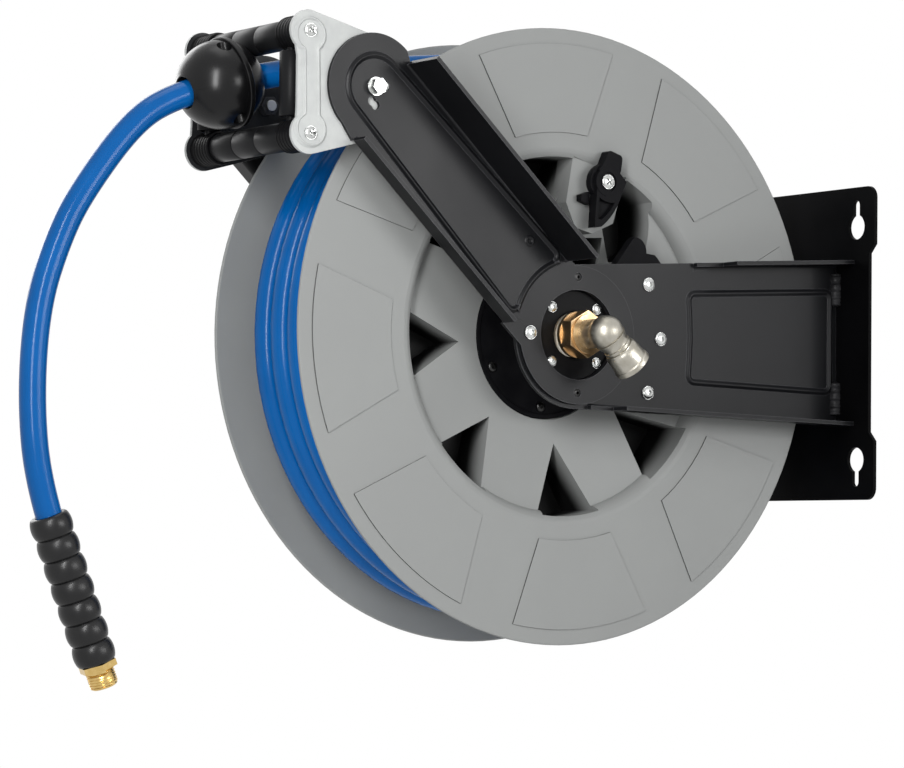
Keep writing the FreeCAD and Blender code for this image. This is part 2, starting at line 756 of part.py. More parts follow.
def spool_half(latched):
    """One half of the spool. The half that carries the latch has its own pocket beside the pad."""
    face_x = SPOOL_HALF_W
    back_x = SPOOL_HALF_W - FLANGE_T
    floor_x = DISH_FLOOR_X + FLANGE_T
    seat_r = DISC_R + 0.7
    edge = FLANGE_T / 2
    profile = [
        (DISH_FLOOR_X, SHAFT_R + 1.5),
        (floor_x, SHAFT_R + 1.5),
        (floor_x, seat_r),
        (dish_x(seat_r), seat_r),
        (DISH_FOOT_X, DISH_R),
        DISH_LIP,
        (face_x, FLANGE_R - edge),
        (face_x - 0.45, FLANGE_R - 0.4),
        (face_x - edge, FLANGE_R),
        (back_x + 0.45, FLANGE_R - 0.4),
        (back_x, FLANGE_R - edge),
        (back_x, BARREL_R),
        (0, BARREL_R),
        (0, BARREL_R - BARREL_T),
        (DISH_FOOT_X + DISH_LIP_R / 2, BARREL_R - BARREL_T),
        (DISH_FOOT_X - DISH_WALL_T, DISH_R + DISH_WALL_T),
        (dish_x(seat_r - 3) - DISH_WALL_T, seat_r - 3),
        (DISH_FLOOR_X, seat_r - 3),
    ]
    body = turned(profile)
    step = 360.0 / PATTERN_COUNT
    walls = []
    hollows = []
    panels = []
    bosses = []
    for k in range(PATTERN_COUNT):
        mid = PATTERN_PHASE + k * step
        shape = latch_pocket if latched and k == LATCH_GAP else pocket
        walls.append(shape(mid, POCKET_WALL_T, POCKET_FLOOR_X))
        hollows.append(shape(mid, 0, POCKET_FLOOR_X + POCKET_WALL_T))
        panels.append(panel(mid))
    for p in tie_points():
        bosses.append(rod(0, dish_x(TIE_SCREW_R - TIE_BOSS_R) - DISH_WALL_T / 2, TIE_BOSS_R, p.y, p.z))
    limit = turned(
        [
            (0, SHAFT_R + 1.5),
            (dish_x(seat_r), SHAFT_R + 1.5),
            (dish_x(seat_r), seat_r),
            (DISH_FOOT_X, DISH_R),
            DISH_LIP,
            (0, BARREL_R),
        ]
    )
    inside = body.fuse([w.common(limit) for w in walls] + bosses + panels)
    return inside.cut(Part.makeCompound(hollows))


def within(r):
    """A bar through the whole spool."""
    return rod(-SPOOL_HALF_W - 5, SPOOL_HALF_W + 5, r)


def keep_half(side, half):
    """Hold a spool half as its flat rim with the barrel, its dish, and its plate round the hub."""
    keep(side + "_flange", half.cut(within(BARREL_R - BARREL_T)))
    keep(side + "_dish", half.common(within(BARREL_R - BARREL_T)).cut(within(HUB_PLATE_R)))
    keep(side + "_hub", half.common(within(HUB_PLATE_R)))


def pocket(mid, grow, floor):
    """Three-sided pocket in the dish between two spokes, grown outward by a wall."""
    g_out = math.degrees(grow / DISH_R)
    g_tip = grow * 2.6
    r_out = POCKET_OUT_R + min(grow, 1.6)
    a = at(floor, POCKET_TIP_R - g_tip, mid)
    b = at(floor, r_out, mid + POCKET_HALF_DEG + g_out * 1.1)
    c = at(floor, r_out, mid - POCKET_HALF_DEG - g_out * 1.1)
    m = at(floor, r_out, mid)
    return face_of(a, b, (m, c)).extrude(V(SPOOL_HALF_W + 5 - floor, 0, 0))


def latch_pocket(mid, grow, floor):
    """The pocket beside the latch pad: it runs up to the pad's edge and has a curved far side."""
    r_out = POCKET_OUT_R
    face = face_of(
        at(floor, r_out, mid + 13.8),
        (at(floor, r_out, mid + 7.8), at(floor, r_out, mid + 1.8)),
        (at(floor, DISH_R - 5.7, mid - 4.3), at(floor, DISH_R - 18.7, mid - 10.4)),
        at(floor, DISH_R - 37.0, mid - 9.5),
        at(floor, DISH_R - 49.0, mid - 2.7),
        at(floor, DISH_R - 32.0, mid + 11.8),
    )
    if grow:
        face = face.makeOffset2D(min(grow, 1.6))
    return face.extrude(V(SPOOL_HALF_W + 5 - floor, 0, 0))


def panel(mid):
    """Raised four-sided panel on the flat ring."""
    x = SPOOL_HALF_W - 0.5

    def p(r, off):
        return at(x, r, mid + off)

    w_in = PANEL_IN_HALF_DEG
    w_out = PANEL_OUT_HALF_DEG
    face = face_of(
        p(PANEL_IN_R, -w_in),
        (p(PANEL_IN_R, 0), p(PANEL_IN_R, w_in)),
        p(PANEL_OUT_R, w_out),
        (p(PANEL_OUT_R, 0), p(PANEL_OUT_R, -w_out)),
    )
    return face.extrude(V(PANEL_RISE + 0.5, 0, 0))


def tie_points():
    """Where the long screws that join the two halves lie: between the pockets, but for the first
    gap, where the hose passes through the barrel."""
    step = 360.0 / PATTERN_COUNT
    return [at(0, TIE_SCREW_R, PORT_DEG + k * step) for k in range(1, PATTERN_COUNT)]


def latch_pad(x0, x1):
    """Outline of the flat pad on one spoke that carries the pawl, from x0 to x1."""
    pts = ((5.0, 64.4), (-31.0, 61.3), (-46.5, 70.0), (-47.0, 81.0), (-29.5, 87.5), (5.0, 85.6))
    ring = [at(x0, DISH_R + out, deg) for out, deg in pts]
    ring.append(ring[0])
    return Part.Face(Part.makePolygon(ring)).extrude(V(x1 - x0, 0, 0))


def latch_window():
    """Deep clearance at the pad's inner end, between the pocket and the hub disc."""
    x0 = DISH_FLOOR_X - 12.0
    pts = ((65.0, 47.0), (78.0, 53.0), (90.0, 58.0), (80.5, 69.5), (79.8, 80.0), (65.0, 82.0))
    ring = [at(x0, r, deg) for r, deg in pts]
    ring.append(ring[0])
    return Part.Face(Part.makePolygon(ring)).extrude(V(SPOOL_HALF_W - x0, 0, 0))


def disc_screw_points():
    return [at(0, DISC_SCREW_R, DISC_SCREW_PHASE + 60 * k) for k in range(DISC_SCREW_COUNT)]


def drilled(shape, points, x0, x1, r):
    for p in points:
        shape = shape.cut(rod(x0, x1, r, p.y, p.z))
    return shape


def hub_disc():
    """Black disc over the hub, dished round its edge."""
    x0 = DISH_FLOOR_X + FLANGE_T
    x1 = x0 + DISC_T
    disc = turned(
        [
            (x0, SHAFT_R + 1.5),
            (x1, SHAFT_R + 1.5),
            (x1, DISC_R - 4.0),
            (x1 + 0.8, DISC_R - 3.2),
            (x1 + 0.8, DISC_R - 0.6),
            (x1 + 0.2, DISC_R),
            (x0, DISC_R),
        ]
    )
    return drilled(disc, disc_screw_points(), x0 - 1, x1 + 1, SCREW_R + SCREW_GAP)


# Bearing housing on the near arm, its bush, cap and ratchet
def eared_plate(bore, *extra):
    """A round plate behind the near arm, with three ears for the arm screws and a seat for a cover."""
    x1 = ARM_IN_X
    x0 = x1 - HOUSING_T
    hub = (AXIS_Y, AXIS_Z)
    ears = []
    for deg in (-ARM_SCREW_DEG, 0, ARM_SCREW_DEG):
        p = at(0, ARM_SCREW_R, deg)
        c = (p.y, p.z)
        a1, a2 = tangent_sides(hub, HOUSING_R - 14, c, EAR_R, 1)
        b1, b2 = tangent_sides(hub, HOUSING_R - 14, c, EAR_R, -1)
        tip = on_circle(c, EAR_R, deg)
        ears.append(sheet(x0, x1, a1, a2, (tip, b2), b1))
    body = rod(x0, x1, HOUSING_R).fuse(ears + list(extra))
    body = body.cut(rod(0, x1 + 1, bore))
    body = body.cut(rod(x1 - 2.0, x1 + 1, CAP_R + 0.3))
    for deg in (-ARM_SCREW_DEG, 0, ARM_SCREW_DEG):
        p = at(0, ARM_SCREW_R, deg)
        body = body.cut(rod(x0 - 1, x1 + 1, SCREW_R, p.y, p.z))
    for deg in (90, 180, 270):
        p = at(0, HUB_SCREW_R, deg)
        body = body.cut(rod(x0 - 1, x1 + 1, SCREW_R, p.y, p.z))
    for p in cap_points():
        body = body.cut(rod(x0 - 1, x1 + 1, SCREW_R * 0.8, p.y, p.z))
    return body.removeSplitter()


def housing():
    """Bearing housing: the eared plate with the sleeve that holds the bush."""
    sleeve = rod(DISH_FLOOR_X + FLANGE_T + DISC_T + 3.0, ARM_IN_X - HOUSING_T, SLEEVE_R)
    return eared_plate(SHAFT_R + BUSH_T, sleeve)


def cap_points():
    c = CAP_SCREW_HALF
    return [V(0, AXIS_Y + sy * c, AXIS_Z + sz * c) for sy in (-1, 1) for sz in (-1, 1)]


def bearing_cap(bore):
    """Round cover seen through the arms' hub holes, held by four screws."""
    x0 = ARM_IN_X - 2.0
    cap = tube(x0, x0 + 3.0, CAP_R, bore)
    return drilled(cap, cap_points(), x0 - 1, x0 + 4, SCREW_R * 0.8 + SCREW_GAP)


def bush():
    """Flanged plastic bush that the hollow shaft turns in."""
    x0 = DISH_FLOOR_X + FLANGE_T + DISC_T + 3.0
    x1 = ARM_IN_X - 2.0
    return tube(x0, x1, SHAFT_R + BUSH_T, SHAFT_R + RUN_GAP)


def ratchet():
    """Fixed toothed segment behind the near base arm."""
    x1 = ARM_IN_X - HOUSING_T
    x0 = x1 - RATCHET_T

    def p(r, deg):
        q = at(0, r, deg)
        return (q.y, q.z)

    root = RATCHET_ROOT_R
    plate = sheet(
        x0,
        x1,
        p(SLEEVE_R + 8, -38),
        p(root, -38),
        (p(root, -8), p(root, RATCHET_START_DEG)),
        p(RATCHET_HIGH_R + 1, RATCHET_START_DEG + 2.5),
        (p(RATCHET_HIGH_R + 2.6, 33.0), p(RATCHET_HIGH_R + 1.6, 39.2)),
        p(RATCHET_LOW_R, RATCHET_STEP_DEG),
        (p(RATCHET_HIGH_R, 46.6), p(RATCHET_HIGH_R - 2.0, RATCHET_END_DEG - 0.6)),
        p(RATCHET_HIGH_R - 5.0, RATCHET_END_DEG),
        p(58.0, RATCHET_END_DEG),
        p(SLEEVE_R + 8, RATCHET_END_DEG),
        (p(SLEEVE_R + 8, 10), p(SLEEVE_R + 8, -38)),
    )
    for deg in (-ARM_SCREW_DEG, 0, ARM_SCREW_DEG):
        q = at(0, ARM_SCREW_R, deg)
        plate = plate.cut(rod(x0 - 1, x1 + 1, SCREW_R, q.y, q.z))
    return plate


def far_plate():
    """Plain carrier on the far arm that holds the fixed arbor."""
    return mirrored(eared_plate(SHAFT_R + SCREW_GAP))


# Water way: hollow shaft, swivel nut, elbow
def seal_groove(x, half, floor_r):
    return tube(x - half, x + half, SHAFT_R + 1, floor_r)


def hollow_shaft():
    """Brass shaft on the spool: water comes in at its open end and leaves at its side port."""
    x0 = SPRING_LID_X + 3.0
    flange_x = DISH_FLOOR_X - FLANGE_T
    body = rod(x0, SHAFT_END_X, SHAFT_R).fuse(rod(flange_x, DISH_FLOOR_X, DISC_R - 3.5))
    body = body.cut(rod(x0 + 4.0, SHAFT_END_X + 1, SHAFT_BORE_R))
    port = Part.makeCylinder(SHAFT_BORE_R, SHAFT_R + 2, at(PORT_X, 0, 0), port_dir())
    body = body.cut(port)
    for x in SWIVEL_GROOVES:
        body = body.cut(seal_groove(x, 1.4, SHAFT_R - 2 * SEAL_SECTION_R - 0.05))
    body = body.cut(seal_groove(CLIP_X, CLIP_SECTION_R + 0.1, SHAFT_R - CLIP_SECTION_R))
    return drilled(body, disc_screw_points(), flange_x - 1, DISH_FLOOR_X + 1, SCREW_R)


def port_dir():
    a = math.radians(PORT_DEG)
    return V(0, math.cos(a), math.sin(a))


def radial(x, deg, r0, r1, radius, bore=0):
    """A cylinder that points away from the spool's axis."""
    a = math.radians(deg)
    d = V(0, math.cos(a), math.sin(a))
    body = Part.makeCylinder(radius, r1 - r0, at(x, r0, deg), d)
    if bore:
        body = body.cut(Part.makeCylinder(bore, r1 - r0 + 2, at(x, r0 - 1, deg), d))
    return body


def ring(x, major, minor):
    """A round ring about the spool's axis."""
    return Part.makeTorus(major, minor, V(x, AXIS_Y, AXIS_Z), V(1, 0, 0))


def swivel_nut():
    body = rod(NUT_X, NUT_HEX_X, COLLAR_NUT_R)
    body = body.fuse(hexagon(NUT_HEX_X, NUT_FRONT_X, NUT_HEX_AF, AXIS_Y, AXIS_Z, 90))
    body = body.fuse(rod(NUT_FRONT_X, NUT_FRONT_X + 2.0, NUT_HEX_AF / 2 - 0.8))
    body = body.cut(rod(NUT_X - 1, SHAFT_END_X + 0.5, SHAFT_R + RUN_GAP))
    body = body.cut(rod(SHAFT_END_X, NUT_FRONT_X + 3, ELBOW_R - 0.3))
    groove = seal_groove(CLIP_X, CLIP_SECTION_R + 0.2, SHAFT_R)
    return body.cut(groove).removeSplitter()


def elbow():
    """Plated elbow from the swivel to the threaded inlet."""
    a = math.radians(INLET_TILT)
    out = V(0, math.cos(a), math.sin(a))
    x_bend = ELBOW_X - ELBOW_BEND_R
    axis = V(x_bend, AXIS_Y, AXIS_Z)
    corner = V(ELBOW_X, AXIS_Y, AXIS_Z)
    pivot = axis + out * ELBOW_BEND_R
    side = V(1, 0, 0).cross(out)

    def bend(radius):
        disc = Part.Face(Part.Wire(Part.makeCircle(radius, axis, V(1, 0, 0))))
        return disc.revolve(pivot, side, 90)

    tail = rod(NUT_FRONT_X - 0.5, NUT_FRONT_X + 2.0, ELBOW_R - 0.3)
    leg = rod(NUT_FRONT_X + 2.0, x_bend, ELBOW_R)
    r_body = ELBOW_R + 1.4
    shoulder = rod(x_bend - 2.0, x_bend, r_body)
    neck = Part.makeCylinder(
        r_body, INLET_REACH - INLET_BAND_L - ELBOW_BEND_R, corner + out * ELBOW_BEND_R, out
    )
    band_start = corner + out * (INLET_REACH - INLET_BAND_L)
    band = Part.makeCylinder(INLET_BAND_R, INLET_BAND_L, band_start, out)
    body = tail.fuse([leg, shoulder, bend(r_body), neck, band])
    body = body.cut(rod(NUT_FRONT_X - 2, x_bend, SHAFT_BORE_R))
    body = body.cut(bend(SHAFT_BORE_R))
    body = body.cut(Part.makeCylinder(SHAFT_BORE_R, INLET_REACH, corner + out * ELBOW_BEND_R, out))
    thread = corner + out * (INLET_REACH - INLET_THREAD_L)
    body = body.cut(Part.makeCylinder(INLET_THREAD_R, INLET_THREAD_L + 1, thread, out))
    return body.removeSplitter()


# Spring motor: a fixed arbor, a case that turns with the spool, and a flat spiral spring
def arbor():
    x_out = ARM_IN_X + 2 * ARM_T + 6.0
    return rod(-x_out, SPRING_LID_X - 2.0, SHAFT_R).fuse(rod(-ARM_IN_X + HOUSING_T, -60.0, 24.0))


def arbor_cap():
    """Round cover on the far arm, bored for the arbor."""
    return mirrored(bearing_cap(SHAFT_R + SCREW_GAP))


def arbor_nut():
    x1 = -(ARM_IN_X + 1.0)
    body = hexagon(x1 - 10.0, x1, 36.0, AXIS_Y, AXIS_Z, 0)
    return body.cut(rod(x1 - 11, x1 + 1, SHAFT_R))


def spring_case():
    back = SPRING_BACK_X
    body = rod(back, SPRING_LID_X - 2.0, SPRING_CASE_R)
    body = body.cut(rod(back + CASE_WALL_T, SPRING_LID_X, SPRING_CASE_R - CASE_WALL_T))
    body = body.cut(rod(back - 1, back + 3, SHAFT_R + BUSH_T))
    return drilled(body, disc_screw_points(), back - 1, back + 3, SCREW_R)


def main_spring():
    """Flat strip in half circles whose centres step from side to side, out to the case's wall."""
    x0 = SPRING_BACK_X + 3.0
    width = SPRING_LID_X - 6.0 - x0
    shift = SPRING_PITCH / 4
    in_edges = []
    out_edges = []
    z = AXIS_Z
    count = 2 * SPRING_TURNS
    r = SPRING_CASE_R - CASE_WALL_T - SPRING_T - shift / 2 - (count - 1) * shift
    for k in range(count):
        side = 1 if k % 2 == 0 else -1
        cy = AXIS_Y + side * shift / 2
        for edges, radius in ((in_edges, r), (out_edges, r + SPRING_T)):
            a = V(x0, cy - side * radius, z)
            m = V(x0, cy, z + side * radius)
            b = V(x0, cy + side * radius, z)
            edges.append((a, m, b))
        r = r + shift
    first = in_edges[0][0]
    steps = [(m, b) for a, m, b in in_edges]
    steps.append(out_edges[-1][2])
    for a, m, b in reversed(out_edges):
        steps.append((m, a))
    return face_of(first, *steps).extrude(V(width, 0, 0))


# Wound hose
def arc_between(p0, t0, p1):
    """An arc that leaves p0 along t0 and ends at p1, with the direction it ends in."""
    chord = p1 - p0
    n = chord.cross(t0)
    if n.Length < 1e-9:
        return Part.makeLine(p0, p1), V(t0)
    n.normalize()
    in_plane = t0.cross(n)
    in_plane.normalize()
    k = chord.dot(chord) / (2 * chord.dot(in_plane))
    centre = p0 + in_plane * k
    mid_dir = (p0 + p1) * 0.5 - centre
    mid_dir.normalize()
    radius = abs(k)
    turn = math.acos(max(-1.0, min(1.0, (p0 - centre).dot(p1 - centre) / radius**2)))
    end_t = t0 * math.cos(turn) + (centre - p0) * (math.sin(turn) / radius)
    end_t.normalize()
    return Part.Arc(p0, centre + mid_dir * radius, p1).toShape(), end_t


def biarc(p0, t0, p1, t1):
    """Two arcs that join smoothly and run from p0 along t0 to p1 along t1."""
    v = p1 - p0
    t = t0 + t1
    a = 2 * (1 - t0.dot(t1))
    b = 2 * v.dot(t)
    c = -v.dot(v)
    if abs(a) < 1e-9:
        d = -c / b
    else:
        d = (-b + math.sqrt(b * b - 4 * a * c)) / (2 * a)
    joint = (p0 + p1 + (t0 - t1) * d) * 0.5
    first, mid_t = arc_between(p0, t0, joint)
    second, end_t = arc_between(joint, mid_t, p1)
    return [first, second]


def lane_tangent(deg):
    a = math.radians(deg)
    return V(0, -math.sin(a), math.cos(a))


def coil_path():
    """Flat turns, one lane each, that cross to the next lane on the wall side."""
    cross = COIL_CROSS_DEG
    start = at(COIL_LANES[0], COIL_R, cross)
    edges = [Part.makeLine(start - lane_tangent(cross) * (2 * HOSE_R), start)]
    for k, lane in enumerate(COIL_LANES):
        spans = (cross, 135.0, 225.0, 360.0 - cross)
        for d0, d1 in zip(spans, spans[1:]):
            p0 = at(lane, COIL_R, d0)
            pm = at(lane, COIL_R, (d0 + d1) / 2)
            p1 = at(lane, COIL_R, d1)
            edges.append(Part.Arc(p0, pm, p1).toShape())
        end = at(lane, COIL_R, 360.0 - cross)
        if k + 1 < len(COIL_LANES):
            after = at(COIL_LANES[k + 1], COIL_R, 360.0 + cross)
            edges += biarc(end, lane_tangent(-cross), after, lane_tangent(cross))
        else:
            edges.append(Part.makeLine(end, end + lane_tangent(-cross) * (2 * HOSE_R)))
    return edges


def pipe(edges, radius, start, direction):
    """A round bar along joined edges."""
    wire = Part.Wire(edges)
    circle = Part.Wire(Part.makeCircle(radius, start, direction))
    solid = wire.makePipeShell([circle], True, False)
    print("length of path", round(wire.Length, 1), "volume over section times length")
    print(round(solid.Volume / (math.pi * radius**2 * wire.Length), 5))
    return solid


def least_gap(edges, radius, near):
    """Smallest gap of a wound tube to itself, from points along it."""
    points = []
    run = 0.0
    for e in edges:
        n = max(2, int(e.Length / 6.0))
        for i, p in enumerate(e.discretize(Number=n + 1)[:-1]):
            points.append((run + e.Length * i / n, p))
        run += e.Length
    best = 1e9
    for i, (s, p) in enumerate(points):
        for s2, q in points[i + 1 :]:
            if s2 - s > near:
                best = min(best, p.distanceToPoint(q))
    return best - 2 * radius


def wound_hose():
    edges = coil_path()
    print("least gap of the wound turns", round(least_gap(edges, HOSE_R, WOUND_APART), 2))
    cross = COIL_CROSS_DEG
    start = at(COIL_LANES[0], COIL_R, cross) - lane_tangent(cross) * (2 * HOSE_R)
    return pipe(edges, HOSE_R, start, lane_tangent(cross))


def wound_core():
    """Lower layers of hose, as one plain body, with the ramp where the hose climbs to the last layer."""
    core = tube(-CORE_HALF_W, CORE_HALF_W, CORE_R, BARREL_R)
    lane = COIL_LANES[0]
    cross = COIL_CROSS_DEG
    face = at(lane, COIL_R, cross) - lane_tangent(cross) * (2 * HOSE_R)
    t = lane_tangent(cross)
    a = math.radians(cross)
    n = V(0, math.cos(a), math.sin(a))
    side = V(HOSE_R * 0.75, 0, 0)
    low = face - t * RAMP_LENGTH - n * (2.2 * HOSE_R + 10.0)
    wedge = Part.Face(
        Part.makePolygon(
            [
                face - n * (HOSE_R * 1.4) - side,
                face + n * (HOSE_R * 0.9) - side,
                low - side,
                face - n * (HOSE_R * 1.4) - side,
            ]
        )
    ).extrude(side * 2)
    return core.fuse(wedge.cut(rod(-60, 60, CORE_R - 5)))


# Hose from the drum to the stop
STOP_A = math.radians(STOP_TILT)
STOP_DIR = V(0, -math.cos(STOP_A), -math.sin(STOP_A))
STOP_C = V(0, LOBE_LOW[0] - STOP_OUT, LOBE_LOW[1] + STOP_UP)


def rounded_path(points):
    """Straight runs joined by tangent arcs. Each arc's radius is 0.45 of its shorter run, divided by
    the tangent of half the turn."""
    edges = []
    here = points[0]
    radii = []
    for a, b, c in zip(points, points[1:], points[2:]):
        u = b - a
        w = c - b
        shorter = min(u.Length, w.Length)
        u.normalize()
        w.normalize()
        turn = u.getAngle(w)
        cut = 0.45 * shorter
        radius = cut / math.tan(turn / 2)
        radii.append(round(radius, 1))
        enter = b - u * cut
        leave = b + w * cut
        inward = w - u
        inward.normalize()
        through = b + inward * (radius / math.cos(turn / 2) - radius)
        if here.distanceToPoint(enter) > 1e-6:
            edges.append(Part.makeLine(here, enter))
        edges.append(Part.Arc(enter, through, leave).toShape())
        here = leave
    edges.append(Part.makeLine(here, points[-1]))
    print("radii", radii)
    return edges


def hose_lead():
    """The part of the hose that comes off the drum, over the lower layers, to the rollers and stop."""
    off = LEAD_OFF_DEG
    lane = LEAD_LANE
    start = at(lane, LEAD_R, LEAD_START_DEG)
    first = start - lane_tangent(LEAD_START_DEG) * (2 * HOSE_R)
    edges = [Part.makeLine(first, start)]
    spans = (LEAD_START_DEG, (LEAD_START_DEG + off) / 2, off)
    for d0, d1 in zip(spans, spans[1:]):
        p0 = at(lane, LEAD_R, d0)
        pm = at(lane, LEAD_R, (d0 + d1) / 2)
        p1 = at(lane, LEAD_R, d1)
        edges.append(Part.Arc(p0, pm, p1).toShape())
    leave = at(lane, LEAD_R, off)
    t = lane_tangent(off)
    end = STOP_C + STOP_DIR * FREE_HOSE_FROM
    points = [leave, leave + t * LEAD_FIRST, V(*LEAD_MID), STOP_C - STOP_DIR * LEAD_BEND, end]
    edges += rounded_path(points)
    return pipe(edges, HOSE_R, first, lane_tangent(LEAD_START_DEG)), end


def stop_halves():
    """Two clamped halves of the ball that stops the hose at the rollers."""
    ball = Part.makeSphere(STOP_R, STOP_C)
    rim_at = STOP_C - STOP_DIR * STOP_RIM_AT
    ball = ball.fuse(Part.makeCylinder(STOP_RIM_R, STOP_RIM_T, rim_at, STOP_DIR))
    bore = Part.makeCylinder(HOSE_R + RUN_GAP, 4 * STOP_R, STOP_C - STOP_DIR * 2 * STOP_R, STOP_DIR)
    mouth = STOP_C + STOP_DIR * (STOP_R - 10.0)
    ball = ball.cut(bore)
    ball = ball.cut(Part.makeCone(HOSE_R + RUN_GAP, HOSE_R + 2.2, 11.0, mouth, STOP_DIR))
    up = STOP_DIR.cross(V(1, 0, 0))
    for sx in (-1, 1):
        c = STOP_C + V(sx * STOP_SCREW_X, 0, 0)
        hole = Part.makeCylinder(SCREW_R + SCREW_GAP, 3 * STOP_R, c - up * 1.5 * STOP_R, up)
        ball = ball.cut(hole)
        for way in (-1, 1):
            seat = c + up * (way * 15.0)
            ball = ball.cut(Part.makeCylinder(HEAD_R + 0.4, 40, seat, up * way))
    halves = []
    for way in (-1, 1):
        box = Part.makeBox(200, 200, 100, V(-100, -100, STOP_SPLIT / 2)).transformGeometry(
            FreeCAD.Placement(STOP_C, FreeCAD.Rotation(V(0, 0, 1), up * way)).toMatrix()
        )
        halves.append(ball.common(box))
    return halves, up


def stop_screw(sx, up):
    """Screw and nut that clamp the ball's halves."""
    c = STOP_C + V(sx * STOP_SCREW_X, 0, 0)
    shank = Part.makeCylinder(SCREW_R, 30.0, c - up * 15.0, up)
    head = Part.makeCylinder(HEAD_R - 0.7, 4.0, c + up * 15.0, up)
    socket = Part.makeCylinder(2.4, 3.0, c + up * 16.8, up)
    nut = Part.makeCylinder(HEAD_R - 0.7, 4.0, c - up * 19.0, up)
    return head.fuse([shank, nut]).cut(socket)


def free_hose(start):
    a = math.radians(RESTRICTOR_LEAN)
    down = V(0, math.sin(a), -math.cos(a))
    top = V(*RESTRICTOR_TOP)
    points = [start, start + STOP_DIR * FREE_HOSE_FIRST] + [V(*p) for p in FREE_HOSE]
    points += [top - down * FREE_HOSE_LAST, top + down * RESTRICTOR_IN]
    edges = rounded_path(points)
    return pipe(edges, HOSE_R, start, STOP_DIR), top, down


def restrictor(top, down):
    """Seven rubber beads moulded in one sleeve round the hose's end."""
    length = RESTRICTOR_BEADS * RESTRICTOR_PITCH
    side = V(1, 0, 0)
    bore = HOSE_R + RUN_GAP

    def p(s, r):
        return top + down * s + side * r

    steps = [p(0, RESTRICTOR_NECK_R)]
    for k in range(RESTRICTOR_BEADS):
        s = k * RESTRICTOR_PITCH
        crest = p(s + RESTRICTOR_PITCH / 2, RESTRICTOR_R)
        steps.append((crest, p(s + RESTRICTOR_PITCH, RESTRICTOR_NECK_R)))
    steps.append(p(length, bore))
    face = face_of(p(0, bore), *steps)
    return face.revolve(top, down, 360), top + down * length


def hose_tail(end, down):
    """Brass hex collar and the threaded end piece with its shank inside the hose."""
    r = FERRULE_HEX_AF / 2 / math.cos(math.radians(30))
    side = V(1, 0, 0)
    other = down.cross(side)
    ring_pts = []
    for k in range(7):
        a = math.radians(60 * k + 30)
        ring_pts.append(end + side * (r * math.cos(a)) + other * (r * math.sin(a)))
    hexa = Part.Face(Part.makePolygon(ring_pts)).extrude(down * FERRULE_L)
    thread = Part.makeCylinder(TAIL_THREAD_R, TAIL_THREAD_L, end + down * FERRULE_L, down)
    body = hexa.fuse(thread)
    bore = Part.makeCylinder(TAIL_BORE_R, FERRULE_L + TAIL_THREAD_L + 2, end - down, down)
    return body.cut(bore).removeSplitter()


def crimp(down):
    """Crimped brass ferrule under the rubber sleeve."""
    top = V(*RESTRICTOR_TOP)
    length = RESTRICTOR_BEADS * RESTRICTOR_PITCH
    start = top + down * RESTRICTOR_IN
    run = length - RESTRICTOR_IN
    body = Part.makeCylinder(HOSE_R, run, start, down)
    return body.cut(Part.makeCylinder(TAIL_BORE_R, run + 2, start - down, down))


# Pawl
PAWL_P = at(0, PAWL_R, PAWL_DEG)
PAWL_A = math.radians(PAWL_DEG)


def beside(t, s):
    """A (y, z) point t round the spool and s outward from the pawl's pivot."""
    y = PAWL_P.y - t * math.sin(PAWL_A) + s * math.cos(PAWL_A)
    z = PAWL_P.z + t * math.cos(PAWL_A) + s * math.sin(PAWL_A)
    return (y, z)


def pawl():
    x0 = PAWL_BACK_X
    x1 = PAWL_FRONT_X
    nose = sheet(
        PAWL_ARM_X,
        x1,
        beside(8.6, -3.0),
        beside(1.8, -36.0),
        beside(-3.6, -34.0),
        (beside(-11.2, -21.0), beside(-14.4, -8.0)),
        beside(-16.4, 5.6),
        beside(-9.4, 9.6),
        beside(-8.4, 9.8),
    )
    tab = sheet(
        PAWL_ARM_X,
        x1,
        beside(-8.6, 4.0),
        beside(-9.2, 12.0),
        beside(-8.0, 20.4),
        (beside(-6.6, 22.4), beside(-4.6, 22.9)),
        beside(3.0, 23.2),
        (beside(5.0, 22.4), beside(5.8, 20.4)),
        beside(6.9, 13.0),
        beside(9.6, 6.0),
    )
    hub = rod(PAWL_ARM_X, x1 - 3.0, PAWL_HUB_R, PAWL_P.y, PAWL_P.z)
    boss = rod(x0, x1 + 0.4, PAWL_BOSS_R, PAWL_P.y, PAWL_P.z)
    nub_ring = (beside(9.0, -10.0), beside(15.5, -14.5), beside(14.5, -19.0), beside(6.5, -19.5))
    nub = sheet(x0, x0 + 6.0, *nub_ring)
    body = nose.fuse([tab, hub, boss, nub])
    hollow = sheet(
        x1 - 4.0,
        x1 + 1,
        beside(3.8, -13.2),
        beside(1.0, -29.0),
        beside(-2.4, -28.6),
        (beside(-7.6, -20.6), beside(-10.4, -12.6)),
        (beside(-3.6, -14.4), beside(3.8, -13.2)),
    )
    body = body.cut(hollow)
    body = body.cut(rod(x1 - 0.6, x1 + 1, 7.6, PAWL_P.y, PAWL_P.z))
    body = body.cut(rod(x0 - 1, x0 + 6.2, PAWL_SPRING_R + 1.8, PAWL_P.y, PAWL_P.z))
    return body.cut(rod(x0 - 1, x1 + 1, PAWL_PIN_R + RUN_GAP, PAWL_P.y, PAWL_P.z)).removeSplitter()


def pawl_screw():
    """Shouldered screw that the pawl turns on."""
    y, z = PAWL_P.y, PAWL_P.z
    shoulder = rod(PAWL_PAD_X, PAWL_FRONT_X - 0.2, PAWL_PIN_R, y, z)
    screw = rod(PAWL_PAD_X - 14.0, PAWL_PAD_X, SCREW_R, y, z)
    head = pan_screw(PAWL_FRONT_X - 0.2, PAWL_FRONT_X - 1.0, y, z, PAWL_PIN_R, 6.6, 2.6)
    return head.fuse([shoulder, screw]).removeSplitter()


